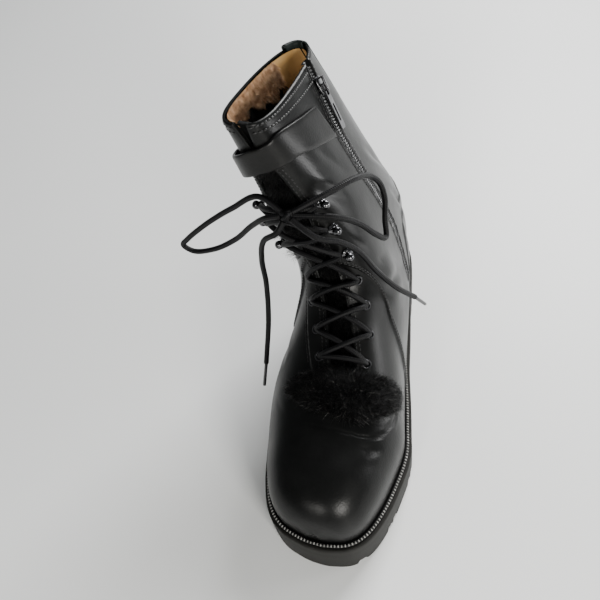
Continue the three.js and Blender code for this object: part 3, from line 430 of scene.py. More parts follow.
# %% The tree that repeats a shape on points
repeat_tree = bpy.data.node_groups.new("repeat a shape", "GeometryNodeTree")
sockets = {}
for label, kind in (("Points", "Geometry"), ("Shape", "Object"), ("Size", "Float"), ("Finish", "Material")):
    made = repeat_tree.interface.new_socket(label, in_out="INPUT", socket_type="NodeSocket" + kind)
    sockets[label] = made.identifier
repeat_tree.interface.new_socket("Result", in_out="OUTPUT", socket_type="NodeSocketGeometry")


def tree_node(kind, **settings):
    node = repeat_tree.nodes.new(kind)
    for key, value in settings.items():
        setattr(node, key, value)
    return node


into = tree_node("NodeGroupInput")
outof = tree_node("NodeGroupOutput")
info = tree_node("GeometryNodeObjectInfo")
turn_of = tree_node("GeometryNodeInputNamedAttribute", data_type="FLOAT_VECTOR")
turn_of.inputs["Name"].default_value = "turn"
stretch_of = tree_node("GeometryNodeInputNamedAttribute", data_type="FLOAT_VECTOR")
stretch_of.inputs["Name"].default_value = "stretch"
bow_of = tree_node("GeometryNodeInputNamedAttribute", data_type="FLOAT_VECTOR")
bow_of.inputs["Name"].default_value = "bow"
share_of = tree_node("GeometryNodeInputNamedAttribute", data_type="FLOAT")
share_of.inputs["Name"].default_value = "share"
squared = tree_node("ShaderNodeMath", operation="MULTIPLY")
bend_by = tree_node("ShaderNodeVectorMath", operation="SCALE")
bend_over = tree_node("GeometryNodeSetPosition")
to_turn = tree_node("FunctionNodeEulerToRotation")
grow = tree_node("ShaderNodeVectorMath", operation="SCALE")
put = tree_node("GeometryNodeInstanceOnPoints")
real = tree_node("GeometryNodeRealizeInstances")
coat = tree_node("GeometryNodeSetMaterial")
link = repeat_tree.links.new
link(into.outputs["Points"], put.inputs["Points"])
link(into.outputs["Shape"], info.inputs["Object"])
link(info.outputs["Geometry"], put.inputs["Instance"])
link(turn_of.outputs["Attribute"], to_turn.inputs["Euler"])
link(to_turn.outputs["Rotation"], put.inputs["Rotation"])
link(stretch_of.outputs["Attribute"], grow.inputs["Vector"])
link(into.outputs["Size"], grow.inputs["Scale"])
link(grow.outputs["Vector"], put.inputs["Scale"])
link(put.outputs["Instances"], real.inputs["Geometry"])
link(share_of.outputs["Attribute"], squared.inputs[0])
link(share_of.outputs["Attribute"], squared.inputs[1])
link(bow_of.outputs["Attribute"], bend_by.inputs["Vector"])
link(squared.outputs["Value"], bend_by.inputs["Scale"])
link(real.outputs["Geometry"], bend_over.inputs["Geometry"])
link(bend_by.outputs["Vector"], bend_over.inputs["Offset"])
link(bend_over.outputs["Geometry"], coat.inputs["Geometry"])
link(into.outputs["Finish"], coat.inputs["Material"])
link(coat.outputs["Geometry"], outof.inputs["Result"])


def repeat(name, places, frames, stretches, shape, finish, bows=None):
    """Copies of a shape at places in metres.

    frames holds the X, Y and Z directions of each, stretches its three factors, bows its bend in metres.
    """
    millimetre = 0.001
    bows = np.zeros((len(places), 3)) if bows is None else bows
    cloud = bpy.data.meshes.new(name)
    cloud.from_pydata([tuple(p) for p in places], [], [])
    turns = [Matrix(np.asarray(f).T.tolist()).to_euler() for f in frames]
    for label, rows in (("turn", turns), ("stretch", stretches), ("bow", bows)):
        attribute = cloud.attributes.new(label, "FLOAT_VECTOR", "POINT")
        attribute.data.foreach_set("vector", np.asarray([tuple(r) for r in rows], np.float32).ravel())
    piece = bpy.data.objects.new(name, cloud)
    bpy.context.collection.objects.link(piece)
    modifier = piece.modifiers.new("repeat", "NODES")
    modifier.node_group = repeat_tree
    modifier[sockets["Shape"]] = shape
    modifier[sockets["Size"]] = millimetre
    modifier[sockets["Finish"]] = finish
    return apply_modifiers(piece)


def unit(v):
    v = np.asarray(v, float)
    return v / np.maximum(np.linalg.norm(v, axis=-1, keepdims=True), 1e-12)


def turned_profile(name, profile, count):
    """Shape turned about Z from rows of radius and height, in millimetres."""
    profile = np.asarray(profile, float)
    a = np.arange(count) / count * 2 * np.pi
    radius = profile[:, :1]
    points = np.stack([radius * np.cos(a), radius * np.sin(a), np.repeat(profile[:, 1:], count, 1)], -1)
    shape = new_piece(name, points.reshape(-1, 3), grid_faces(len(profile), count, False, True), thread)
    return tidy_mesh(shape, 0.001)


templates = []
print("repeat tree", len(repeat_tree.nodes), "nodes")

# %% [markdown]
# Seams and edges are short tables of station and angle. The throat opens from the instep to the collar, the
# shaft's panel overlaps the vamp along a curved edge, and the zip climbs the inner side. Creases are strokes
# laid where the photograph shows them, each with its own depth and width in millimetres.

# %% Tables of edges and creases
throat = np.array([
    [0.0, 9, 9], [0.332, 9, 9], [0.338, 12, 6], [0.346, 19, 0], [0.42, 15.5, -5.5], [0.49, 11, -10],
    [0.58, 5.5, -15], [0.64, 4, -19], [0.72, 7, -24], [0.8, 12, -27], [0.87, 9, -26], [0.91, 4, -12],
    [0.943, 0, -2.6], [0.97, 3, -3], [1.0, 9, -6], [1.06, 14, -10],
])
zip_path = np.array([
    [0.612, 107], [0.66, 106], [0.705, 104], [0.752, 101], [0.804, 101.5], [0.856, 104.2], [0.893, 106.4],
    [0.926, 109.5], [0.958, 115], [0.983, 121], [1.0, 126],
])
panel_edge = np.array([
    [-180, 0.42], [-110, 0.425], [-78, 0.455], [-60, 0.48], [-47, 0.518], [-35, 0.562], [-20, 0.585],
    [0, 0.592], [26, 0.588], [36, 0.578], [47, 0.558], [55, 0.531], [60, 0.504], [78, 0.472], [100, 0.44],
    [120, 0.425], [180, 0.42],
])
facing_edge = np.array([[0.33, -14], [0.345, -16], [0.422, -26], [0.491, -32], [0.56, -38]])
counter_from = 122
counter_to = 238
counter_top = 0.79
counter_thickness = 0.9
facing_thickness = 1.0
throat_from = 0.336
zip_slot_depth = 1.7
zip_slot_half = 3.4
zip_fold_height = 0.7

# Creases. Each has a half width in millimetres, then points of station, degrees and depth.
creases = [
    (0.7, [(0.214, -30, 0), (0.2185, -10, 0.16), (0.2195, 2, 0.26), (0.2205, 14, 0.36), (0.225, 28, 0.36),
           (0.235, 41, 0.3), (0.25, 52, 0)]),
    (1.1, [(0.222, 24, 0), (0.232, 36, 0.2), (0.25, 47, 0.2), (0.272, 56, 0)]),
    (2.2, [(0.196, 26, 0), (0.203, 36, 0.55), (0.214, 46, 0.4), (0.228, 54, 0)]),
    (1.3, [(0.262, 50, 0), (0.29, 58, 0.5), (0.315, 62, 0.45), (0.34, 64, 0)]),
    (1.0, [(0.31, 54, 0), (0.335, 60, 0.45), (0.365, 66, 0.4), (0.40, 70, 0)]),
    (1.5, [(0.35, 58, 0), (0.375, 66, 0.5), (0.40, 76, 0)]),
    (1.6, [(0.235, -34, 0), (0.26, -46, 0.12), (0.30, -56, 0)]),
    (2.6, [(0.35, -50, 0), (0.40, -58, 0.8), (0.46, -70, 0.5), (0.5, -80, 0)]),
    (3.6, [(0.56, 54, 0), (0.59, 74, 1.1), (0.63, 98, 0.6), (0.66, 110, 0)]),
    (4.2, [(0.595, 44, 0), (0.63, 66, 0.8), (0.66, 88, 0)]),
    (4.5, [(0.71, 124, 0), (0.68, 138, 1.5), (0.63, 160, 0.8), (0.6, 175, 0)]),
    (4.0, [(0.77, 120, 0), (0.74, 134, 1.4), (0.70, 152, 0.7), (0.68, 165, 0)]),
    (4.5, [(0.87, 124, 0), (0.84, 136, 1.0), (0.80, 152, 0)]),
    (4.8, [(0.67, -66, 0), (0.645, -88, 1.2), (0.62, -112, 0)]),
    (4.8, [(0.75, -86, 0), (0.72, -108, 1.0), (0.70, -134, 0)]),
    (5.0, [(0.87, 26, 0), (0.83, 46, 0.8), (0.78, 72, 0)]),
    (5.0, [(0.95, 70, 0), (0.9, 84, 0.6), (0.84, 92, 0)]),
]


def step_up(distance, low, high):
    k = np.clip((distance - low) / (high - low), 0, 1)
    return k * k * (3 - 2 * k)


def from_line(u, deg, per_station, per_degree, line):
    """Distance in millimetres, on the skin, to a crease, and the depth of the crease there."""
    best = np.full(np.shape(u), 1e9)
    depth = np.zeros(np.shape(u))
    for (u0, d0, low), (u1, d1, high) in zip(line[:-1], line[1:]):
        ax = (u - u0) * per_station
        ay = (deg - d0) * per_degree
        bx = (u1 - u0) * per_station
        by = (d1 - d0) * per_degree
        k = np.clip((ax * bx + ay * by) / np.maximum(bx * bx + by * by, 1e-9), 0, 1)
        far = np.hypot(ax - k * bx, ay - k * by)
        depth = np.where(far < best, low + (high - low) * k, depth)
        best = np.minimum(best, far)
    return best, depth


def signed(deg):
    return (np.asarray(deg, float) + 180) % 360 - 180


def leather_rise(u, deg):
    """How far the finished leather stands off the plain skin, in millimetres."""
    u, deg = np.broadcast_arrays(np.asarray(u, float), np.asarray(deg, float))
    deg = signed(deg)
    _, per_station, per_degree = skin_frame(u, deg)
    rise = overlay * step_up((u - along(panel_edge, deg)[..., 0]) * per_station, -0.3, 0.9)
    back = np.where(deg < 0, deg + 360, deg)
    share = np.clip((back - counter_from) / (counter_to - counter_from), 0, 1)
    top = counter_top - 0.1 * np.abs(2 * share - 1) ** 2.2
    from_ends = np.minimum(back - counter_from, counter_to - back)
    inside = np.minimum((top - u) * per_station, from_ends * per_degree)
    rise = rise + counter_thickness * step_up(inside, -0.3, 0.9)
    outer_facing = (deg - along(facing_edge, u)[..., 0]) * per_degree
    on_facing = (deg < 9) * (u > 0.33) * step_up(0.6 - u, 0, 0.02)
    rise = rise + facing_thickness * step_up(outer_facing, -0.2, 0.6) * on_facing
    for width, line in creases:
        far, depth = from_line(u, deg, per_station, per_degree, line)
        rise = rise - depth * np.exp(-((far / width) ** 2))
        rise = rise + 0.4 * depth * np.exp(-(((far - 2.3 * width) / (1.2 * width)) ** 2))
    zip_deg = along(zip_path, np.clip(u, 0.6, 1.02))[..., 0]
    far = np.abs(deg - zip_deg) * per_degree
    live = step_up(u, 0.606, 0.616)
    rise = rise - live * zip_slot_depth * step_up(zip_slot_half - far, 0, 0.8)
    rise = rise + live * zip_fold_height * np.exp(-(((far - zip_slot_half - 1.2) / 1.1) ** 2))
    rise = rise + 0.35 * np.sin(9 * u + np.radians(deg) * 2.0) * step_up(u, 0.5, 0.7)
    edges = along_straight(throat, u)
    inner = np.where(deg > edges[0] - 1, (deg - edges[0]) * per_degree, 99)
    outer = np.where(deg < edges[1] + 1, (edges[1] - deg) * per_degree, 99)
    edge = np.minimum(np.where(u > throat_from, np.minimum(inner, outer), 99), (1.0 - u) * per_station)
    return rise - 0.5 * (1 - step_up(edge, 0, 1.3))


def along_straight(rows, at):
    return [np.interp(at, rows[:, 0], rows[:, c]) for c in range(1, rows.shape[1])]


print("creases", len(creases))

# %% [markdown]
# The upper is the main form. It is one sheet of points: rows follow the stations, columns run from the inner
# edge of the throat round the heel to its outer edge, so both edges of the throat are clean. Rows and columns
# lie about a millimetre apart where the camera looks. Points deep under the top of the sole are left out.

# %% Upper
stations = np.concatenate([
    np.linspace(0, 0.03, 14, endpoint=False), np.linspace(0.03, 0.33, 96, endpoint=False),
    np.linspace(0.33, 0.35, 10, endpoint=False), np.linspace(0.35, 0.7, 104, endpoint=False),
    np.linspace(0.7, 1.0, 84),
])
turns = np.concatenate([
    np.linspace(0, 0.36, 128, endpoint=False), np.linspace(0.36, 0.64, 46, endpoint=False),
    np.linspace(0.64, 0.86, 44, endpoint=False), np.linspace(0.86, 1, 54),
])


def upper_grid(station_row, turn_row, off):
    u = station_row[:, None]
    inner, outer = along_straight(throat, u)
    deg = inner + turn_row[None, :] * (360 + outer - inner)
    return u + 0 * deg, deg, skin(u + 0 * deg, deg, off(u + 0 * deg, deg))


u, deg, points = upper_grid(stations, turns, leather_rise)
rows, columns = u.shape
middle = points[:1].copy()
middle[..., 0] = points[0, :, 0].mean()
points = np.concatenate([middle, points])
faces = grid_faces(rows + 1, columns)
under = points[..., 2] < sole_top_at(points[..., 1]) - 4
kept = faces[~np.all(under.ravel()[faces], axis=1)]
upper = new_piece("upper_leather", metres(points).reshape(-1, 3), kept, upper_leather)
tidy_mesh(upper)
work = bmesh.new()
work.from_mesh(upper.data)
loose = [v for v in work.verts if not v.link_faces]
bmesh.ops.delete(work, geom=loose, context="VERTS")
work.to_mesh(upper.data)
work.free()
rim = upper.modifiers.new("edge", "SOLIDIFY")
rim.thickness = 0.0014
rim.offset = -1
rim.use_rim_only = True
apply_modifiers(upper)
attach(upper, "boot")
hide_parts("upper")
print("upper", len(upper.data.polygons), "faces")

# %% [markdown]
# The lining is a second, plainer sheet just inside the leather. At the back of the collar it is a smooth
# ochre panel; on the outer wall it is a tan nap that turns to black fur lower down. The sheet carries the
# colour, and short hairs are added on it later.

# %% Lining
lining_rows = np.linspace(0.02, 0.997, 70)
lining_turns = np.linspace(0, 1, 90)
u, deg, points = upper_grid(lining_rows, lining_turns, lambda u, d: np.full(u.shape, -1.5))
faces = grid_faces(*u.shape)[:, ::-1]
lining = new_piece("lining", metres(points).reshape(-1, 3), faces, ochre_lining)
lining.data.materials.append(fur_backing)
angle = signed(deg).ravel()[faces].mean(1)
level = u.ravel()[faces].mean(1)
back_panel = (np.abs(angle) > 122) & (level > 0.9)
nap = (angle < -16) & (level > 0.975)
lining.data.polygons.foreach_set("material_index", np.where(back_panel | nap, 0, 1).astype(np.int32))
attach(lining, "boot")
print("lining", len(faces), "faces")


# %% [markdown]
# Where the upper meets the sole there is one closed line on the skin. It is found by halving the angle at
# each station until the height above the sole is right. The sole and the rand follow it.

# %% Line where the upper meets the sole
def feather_line(count):
    def height(u, deg):
        p = skin_point(u, deg)
        return p[..., 2] - sole_top_at(p[..., 1]) - 1.5

    end = 0.66
    while height(end, 180.0) < 0:
        end += 0.001
    halves = []
    for sign in (1, -1):
        u = end * (0.5 - 0.5 * np.cos(np.arange(301) / 300 * np.pi))
        low = np.full(301, 90.0)
        high = np.full(301, 180.0)
        for _ in range(30):
            mid = (low + high) / 2
            above = height(u, sign * mid) > 0
            low = np.where(above, mid, low)
            high = np.where(above, high, mid)
        halves.append(skin_point(u, sign * low)[:, :2])
    line = np.concatenate([halves[0], halves[1][::-1]])
    closed = np.concatenate([line, line[:1]])
    run = np.concatenate([[0], np.cumsum(np.linalg.norm(np.diff(closed, axis=0), axis=1))])
    at = np.arange(count) / count * run[-1]
    even = np.stack([np.interp(at, run, closed[:, k]) for k in (0, 1)], -1)
    for _ in range(6):
        even = 0.5 * even + 0.25 * (np.roll(even, 1, 0) + np.roll(even, -1, 0))
    along_line = unit(np.roll(even, -3, 0) - np.roll(even, 3, 0))
    out = np.stack([along_line[:, 1], -along_line[:, 0]], -1)
    if ((even - even.mean(0)) * out).sum() < 0:
        out = -out
    return even, out, run[-1]


feather, feather_out, feather_length = feather_line(480)
print("feather line", round(feather_length), "mm")

# %% [markdown]
# The outsole is one thick moulding. Its side is a plain wall with a rounded top edge; its lower edge is
# notched where the grooves between the lugs come out. The side is a stack of rings on the feather
# line, and the ground side is a net of strips straight across the foot, sunk where the grooves run.

# %% Outsole
ground_line = np.array([
    [-0.08, 0.5], [0, 0.25], [0.056, 0.13], [0.112, 0.05], [0.18, 0.01], [0.225, 0], [0.44, 0], [0.465, 0.35],
    [0.51, 0.8], [0.6, 1], [0.675, 1], [0.685, 0], [0.965, 0], [1.0, 0.12], [1.09, 0.35],
])
arch_rise = 12.0
lug_depth = 4.5
groove_half = 2.5
lug_pitch = 17.0
grooves = [(0.035 + i * lug_pitch / last_length, 6 if i % 2 else -6) for i in range(6)]
grooves += [(0.69 + i * lug_pitch / last_length, 0) for i in range(1, 5)]


def ground_at(x, s):
    base = np.interp(s / last_length, ground_line[:, 0], ground_line[:, 1]) * arch_rise
    sunk = np.zeros(np.shape(s))
    for share, tilt in grooves:
        t = math.radians(tilt)
        far = np.abs((s - share * last_length) * math.cos(t) - x * math.sin(t))
        sunk = np.maximum(sunk, step_up(groove_half + 0.5 - far, 0, 0.8))
    spine = (groove_half + 0.4 - np.abs(x)) * ((s > 0.045 * last_length) & (s < 0.44 * last_length))
    sunk = np.maximum(sunk, step_up(spine, 0, 0.8))
    return base + lug_depth * sunk


# Side of the sole. Columns: millimetres past the upper, millimetres under the top of the sole.
sole_side = [
    [-7, 0.2], [3.0, 0.1], [3.9, 0.25], [4.5, 0.7], [4.8, 1.6], [4.87, 4.0], [4.9, 6.3], [4.92, 7.0],
    [4.94, 7.6], [4.97, 8.4], [5.0, 9.2], [5.02, 10.0], [5.04, 13.0],
]
sole_rings = []
for off, drop in sole_side:
    p = feather + feather_out * off
    sole_rings.append(np.column_stack([p, sole_top_at(p[:, 1]) - drop]))
rim_at = feather + feather_out * 4.4
rim_z = ground_at(rim_at[:, 0], rim_at[:, 1])
wall_at = feather + feather_out * 5.0
wall_top = sole_rings[-1][:, 2]
for share in (0.25, 0.5, 0.72, 0.88, 0.96):
    sole_rings.append(np.column_stack([wall_at, wall_top + (rim_z + 0.5 - wall_top) * share]))
sole_rings.append(np.column_stack([wall_at * 0.5 + rim_at * 0.5, rim_z + 0.15]))
sole_rings.append(np.column_stack([rim_at, rim_z]))
count = len(feather)
points = np.concatenate(sole_rings)
faces = list(grid_faces(len(sole_rings), count, False, True))
columns = 56
strips = count // 2
left = np.arange(0, strips + 1) % count
other = (count - np.arange(0, strips + 1)) % count
blend = (np.arange(1, columns) / columns)[None, :, None]
net = rim_at[left][:, None] * (1 - blend) + rim_at[other][:, None] * blend
net_z = ground_at(net[..., 0], net[..., 1])
start = len(points)
points = np.concatenate([points, np.concatenate([net, net_z[..., None]], -1).reshape(-1, 3)])
last_ring = (len(sole_rings) - 1) * count
index = start + np.arange((strips + 1) * (columns - 1)).reshape(strips + 1, columns - 1)
index = np.concatenate([last_ring + left[:, None], index, last_ring + other[:, None]], 1)
squares = np.stack([index[:-1, :-1], index[1:, :-1], index[1:, 1:], index[:-1, 1:]], -1)
faces += [tuple(q) for q in squares.reshape(-1, 4)]
faces += [(k, k + 1, (count - k - 1) % count, (count - k) % count) for k in range(1, strips - 1)]
outsole = tidy_mesh(new_piece("outsole_rubber", metres(points), faces, sole_rubber), 0.00001)
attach(outsole, "boot")
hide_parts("outsole")
print("outsole", len(outsole.data.polygons), "faces")

# %% [markdown]
# The rand is the ribbed bead that hides the seam between upper and sole. A round black bead is swept round
# the feather line. Its ribs, two millimetres apart, are small capsules laid across it by the tree that
# repeats a shape. Their light grey colour is painted highlight on the rib crests; the rubber itself is black.

# %% Rand
bead_radius = 1.55
rib_pitch = 2.0
bead = []
for turn_deg in np.arange(-60, 241, 25):
    a = math.radians(turn_deg)
    p = feather + feather_out * (1.3 + bead_radius * math.cos(a))
    z = sole_top_at(p[:, 1]) + 1.5 + bead_radius * math.sin(a)
    bead.append(np.column_stack([p, z]))
bead_faces = grid_faces(len(bead), count, True, True)
rand = new_piece("ribbed_rand", metres(np.concatenate(bead)), bead_faces, rand_rubber)
tidy_mesh(rand, 0.000001)
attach(rand, "boot")
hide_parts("rand")
rib_shape = turned_profile("rib shape", [
    [0, -0.85], [0.3, -0.75], [0.42, -0.4], [0.46, 0], [0.42, 0.4], [0.3, 0.75], [0, 0.85],
], 8)
templates.append(rib_shape)
closed = np.concatenate([feather, feather[:1]])
closed_out = np.concatenate([feather_out, feather_out[:1]])
ribs = int(feather_length / rib_pitch)
at = (np.arange(ribs) + 0.5) / ribs * count
line = np.stack([np.interp(at, np.arange(count + 1), closed[:, k]) for k in (0, 1)], -1)
out = unit(np.stack([np.interp(at, np.arange(count + 1), closed_out[:, k]) for k in (0, 1)], -1))
lean = math.radians(52)
p = line + out * (1.3 + (bead_radius - 0.12) * math.cos(lean))
z = sole_top_at(p[:, 1]) + 1.5 + (bead_radius - 0.12) * math.sin(lean)
out3 = np.column_stack([out, np.zeros(ribs)])
up3 = np.array([0, 0, 1.0])
face_out = out3 * math.cos(lean) + up3 * math.sin(lean)
across = -out3 * math.sin(lean) + up3 * math.cos(lean)
frames = np.stack([np.cross(face_out, across), face_out, across], 1)
places = metres(np.column_stack([p, z]))
# The ribs are real capsules; their grey finish paints the highlights on their crests.
rand_ribs = repeat("rand_ribs", places, frames, np.ones((ribs, 3)), rib_shape, rib_painted_highlight)
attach(rand_ribs, "boot")
print("rand", ribs, "ribs")


# %% [markdown]
# The lace is a round waxed cord, about 3.5 mm thick.
# A tube is swept along a smooth line and keeps two numbers in
# its UV map, the way along the cord and the turn round it, so the braid follows every bend.

# %% Tube along a line
def smooth_line(points, spacing):
    """Centripetal curve through points, cut at even lengths."""
    p = np.asarray(points, float)
    p = np.concatenate([[2 * p[0] - p[1]], p, [2 * p[-1] - p[-2]]])
    out = []
    for k in range(1, len(p) - 2):
        a, b, c, d = p[k - 1], p[k], p[k + 1], p[k + 2]
        t0 = 0.0
        t1 = t0 + max(np.linalg.norm(b - a) ** 0.5, 1e-4)
        t2 = t1 + max(np.linalg.norm(c - b) ** 0.5, 1e-4)
        t3 = t2 + max(np.linalg.norm(d - c) ** 0.5, 1e-4)
        t = np.linspace(t1, t2, 24, endpoint=False)[:, None]
        a1 = (t1 - t) / (t1 - t0) * a + (t - t0) / (t1 - t0) * b
        a2 = (t2 - t) / (t2 - t1) * b + (t - t1) / (t2 - t1) * c
        a3 = (t3 - t) / (t3 - t2) * c + (t - t2) / (t3 - t2) * d
        b1 = (t2 - t) / (t2 - t0) * a1 + (t - t0) / (t2 - t0) * a2
        b2 = (t3 - t) / (t3 - t1) * a2 + (t - t1) / (t3 - t1) * a3
        out.append((t2 - t) / (t2 - t1) * b1 + (t - t1) / (t2 - t1) * b2)
    line = np.concatenate(out + [p[-2:-1]])
    run = np.concatenate([[0], np.cumsum(np.linalg.norm(np.diff(line, axis=0), axis=1))])
    at = np.linspace(0, run[-1], max(3, int(run[-1] / spacing) + 1))
    return np.stack([np.interp(at, run, line[:, k]) for k in range(3)], -1), run[-1]


def tube_parts(line, radius, sides=14):
    ahead = unit(np.gradient(line, axis=0))
    side = unit(np.cross(ahead[0], [0.3, 0.2, 0.9]))
    rings = []
    a = np.arange(sides) / sides * 2 * np.pi
    for p, t in zip(line, ahead):
        side = unit(side - t * np.dot(side, t))
        other_side = np.cross(t, side)
        rings.append(p + radius * (np.cos(a)[:, None] * side + np.sin(a)[:, None] * other_side))
    return np.array(rings)


def tube_piece(name, lines, radius, finish, sides=14):
    """One mesh of round tubes with capped ends and a UV map: millimetres along, turns round."""
    points = []
    faces = []
    marks = []
    for line in lines:
        rings = tube_parts(line, radius, sides)
        start = len(points)
        run = np.concatenate([[0], np.cumsum(np.linalg.norm(np.diff(line, axis=0), axis=1))])
        points += list(rings.reshape(-1, 3))
        for q in grid_faces(len(rings), sides, False, True):
            faces.append(tuple(start + q))
            marks.append([(run[v // sides], (v % sides) / sides) for v in q])
        faces.append(tuple(start + np.arange(sides)[::-1]))
        marks.append([(run[0], 0)] * sides)
        faces.append(tuple(start + (len(rings) - 1) * sides + np.arange(sides)))
        marks.append([(run[-1], 0)] * sides)
    piece = new_piece(name, metres(points), faces, finish)
    layer = piece.data.uv_layers.new(name="along")
    flat = []
    for corners in marks:
        turns_here = [c[1] for c in corners]
        wrap = max(turns_here) - min(turns_here) > 0.5
        for run_at, turn_at in corners:
            flat += [run_at, turn_at + 1 if wrap and turn_at < 0.5 else turn_at]
    layer.data.foreach_set("uv", np.array(flat, np.float32))
    return piece


lace_radius = 1.78
print("tube helper ready")

# %% Free lace: loops, ends and tips
knot = np.array([-29.4, 122.3, 183.1])
loop_outer = [
    [-46.3, 127, 190.5], [-66.3, 128, 178.5], [-87.4, 128, 163.4], [-107, 128, 146.5], [-112, 128, 140.5],
    [-106, 128, 136], [-88.7, 128, 140.8], [-70.3, 128, 152.8], [-55, 125.5, 168.5], [-41, 121.5, 180.5],
]
end_outer = [
    [-34, 116.5, 175], [-45, 118, 165], [-51.7, 121, 144.5], [-53.8, 122, 121.5],
    [-54.5, 114, 95], [-57.9, 100, 60],
]
tip_outer = [-60.5, 93, 41]
loop_inner = [
    [-8, 137, 190], [2, 150, 190], [7, 168, 179], [11, 174, 169], [14, 172, 160], [16, 163, 151],
    [18, 156, 143], [14, 148, 152], [6, 141, 166], [-5, 131, 178],
]
end_inner = [
    [-10.5, 116.9, 174], [0, 122.6, 167.4], [9, 128, 156], [18, 132, 137], [28, 139, 117], [37, 152, 95],
]
tip_inner = [42, 163, 76]
knot_clearance = 3.4
tip_radius = 1.2


def aglet_line(rows, tip):
    end = np.array(rows[-1], float)
    way = unit(np.array(tip) - end)
    return np.linspace(end - 2 * way, np.array(tip), 10)


for name, solid, rows, tip in (
    ("lace_loop_left", "lace_loop_outer", loop_outer, None),
    ("lace_loop_right", "lace_loop_inner", loop_inner, None),
    ("lace_end_left", "lace_end_outer", end_outer, tip_outer),
    ("lace_end_right", "lace_end_inner", end_inner, tip_inner),
):
    route = [knot] + [np.array(r, float) for r in rows] + ([] if tip else [knot])
    line, _ = smooth_line(route, 0.9)
    line = line[np.linalg.norm(line - knot, axis=1) > knot_clearance]
    length = np.linalg.norm(np.diff(line, axis=0), axis=1).sum()
    cord = tube_piece(name, [line], lace_radius, waxed_lace)
    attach(cord, "boot")
    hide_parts(solid)
    if tip:
        aglet = tube_piece(name + "_tip", [aglet_line(rows, tip)], tip_radius, lace_tip_finish)
        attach(aglet, "boot")
        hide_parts(solid.replace("end", "tip"))
    print(name, round(length), "mm")
knot_turns = np.linspace(0, 2 * np.pi, 90)
knot_line = np.stack([
    (np.sin(knot_turns) + 2 * np.sin(2 * knot_turns)) * 1.1,
    (np.cos(knot_turns) - 2 * np.cos(2 * knot_turns)) * 0.75,
    -np.sin(3 * knot_turns) * 1.5,
], -1)
knot_piece = tube_piece("lace_knot_turns", [knot + knot_line], 1.5, waxed_lace)
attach(knot_piece, "boot")
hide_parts("lace_knot")

# %% [markdown]
# The laced part runs a bar across the lowest eyelets, then crosses from row to row and round the hooks. Each
# strand rises out of one hole, lies over the fur and dives into the next, so no end is seen.

# %% Laced part, eyelets and hooks
eyelet_rows = [
    [0.374, 28, 0.362, -9.5], [0.44, 32, 0.42, -16], [0.5, 31, 0.484, -24], [0.552, 25.5, 0.54, -28],
]
hook_rows = [[0.638, 26, 0.664, -35], [0.72, 30, 0.728, -38], [0.799, 35, 0.776, -44]]


def strand(a, b, rise_a, rise_b, hole_a, hole_b):
    rows = []
    if hole_a:
        rows += [(a, -2.5), (a, 0.4)]
    else:
        rows.append((a, rise_a))
    for k in (0.12, 0.35, 0.65, 0.88):
        place = (a[0] + (b[0] - a[0]) * k, a[1] + (b[1] - a[1]) * k)
        rows.append((place, rise_a + (rise_b - rise_a) * k + 0.5 * math.sin(k * math.pi)))
    if hole_b:
        rows += [(b, 0.4), (b, -2.5)]
    else:
        rows.append((b, rise_b))
    return [skin(p[0], p[1], rise) for p, rise in rows]


def beside(place, sign):
    """Where the lace passes a hook, on the side of the throat."""
    shift = 4.6 / skin_frame(np.array(place[0]), np.array(place[1]))[2]
    return [place[0], place[1] - sign * float(shift)]


ends = [([a, b], [c, d], 2.7, True) for a, b, c, d in eyelet_rows]
ends += [(beside([a, b], 1), beside([c, d], -1), 4.9, False) for a, b, c, d in hook_rows]
strands = [strand(ends[0][0], ends[0][1], 2.7, 2.7, True, True)]
for low, high in zip(ends[:-1], ends[1:]):
    strands.append(strand(low[0], high[1], low[2], high[2], low[3], high[3]))
    strands.append(strand(low[1], high[0], low[2] + 0.9, high[2] + 0.9, low[3], high[3]))
strands.append(strand(ends[-1][0], ends[-1][1], 4.9, 4.9, False, False))
laced = tube_piece("laced_part", [smooth_line(s, 0.9)[0] for s in strands], lace_radius, waxed_lace)
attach(laced, "boot")
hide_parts("lace_crossings")


def stand_on(rows, off):
    """Places and frames of small pieces standing on the skin."""
    u = np.array([r[0] for r in rows], float)
    deg = np.array([r[1] for r in rows], float)
    out = skin_frame(u, deg)[0]
    rise = unit(skin_point(u + 0.01, deg) - skin_point(u - 0.01, deg))
    rise = unit(rise - out * (rise * out).sum(-1, keepdims=True))
    return metres(skin(u, deg, off)), np.stack([np.cross(rise, out), rise, out], 1)


eyelet_shape = turned_profile("eyelet shape", [
    [2.0, -2.0], [2.0, 0.55], [2.25, 0.85], [2.6, 0.95], [2.95, 0.85], [3.25, 0.5], [3.3, 0.1], [2.7, 0.0],
    [2.6, -2.0], [2.0, -2.0],
], 20)
hook_shape = turned_profile("hook shape", [
    [0, 0], [3.3, 0.0], [3.6, 0.3], [3.4, 0.7], [2.2, 1.0], [1.5, 1.5], [1.4, 2.4], [1.7, 2.9], [2.4, 3.5],
    [2.75, 4.3], [2.8, 4.9], [2.6, 5.8], [2.1, 6.7], [1.3, 7.3], [0.5, 7.6], [0, 7.62],
], 20)
templates += [eyelet_shape, hook_shape]
holes = [(a, b) for a, b, c, d in eyelet_rows] + [(c, d) for a, b, c, d in eyelet_rows]
places, frames = stand_on(holes, 0.6)
eyelets = repeat("eyelets", places, frames, np.ones((8, 3)), eyelet_shape, eyelet_metal)
posts = [(a, b) for a, b, c, d in hook_rows] + [(c, d) for a, b, c, d in hook_rows]
places, frames = stand_on(posts, 1.5)
hooks = repeat("ball_hooks", places, frames, np.ones((6, 3)), hook_shape, dark_nickel)
for piece, start_name in ((eyelets, "eyelet"), (hooks, "hook")):
    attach(piece, "boot")
    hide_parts(*[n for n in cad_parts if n.startswith(start_name)])
print("eyelets and hooks", len(eyelets.data.polygons), len(hooks.data.polygons))

# %% [markdown]
# Stitches are short capsules of black thread. A seam is a line on the skin, moved sideways by a few
# millimetres, and its stitches are spaced evenly along it and sunk a little into the leather.

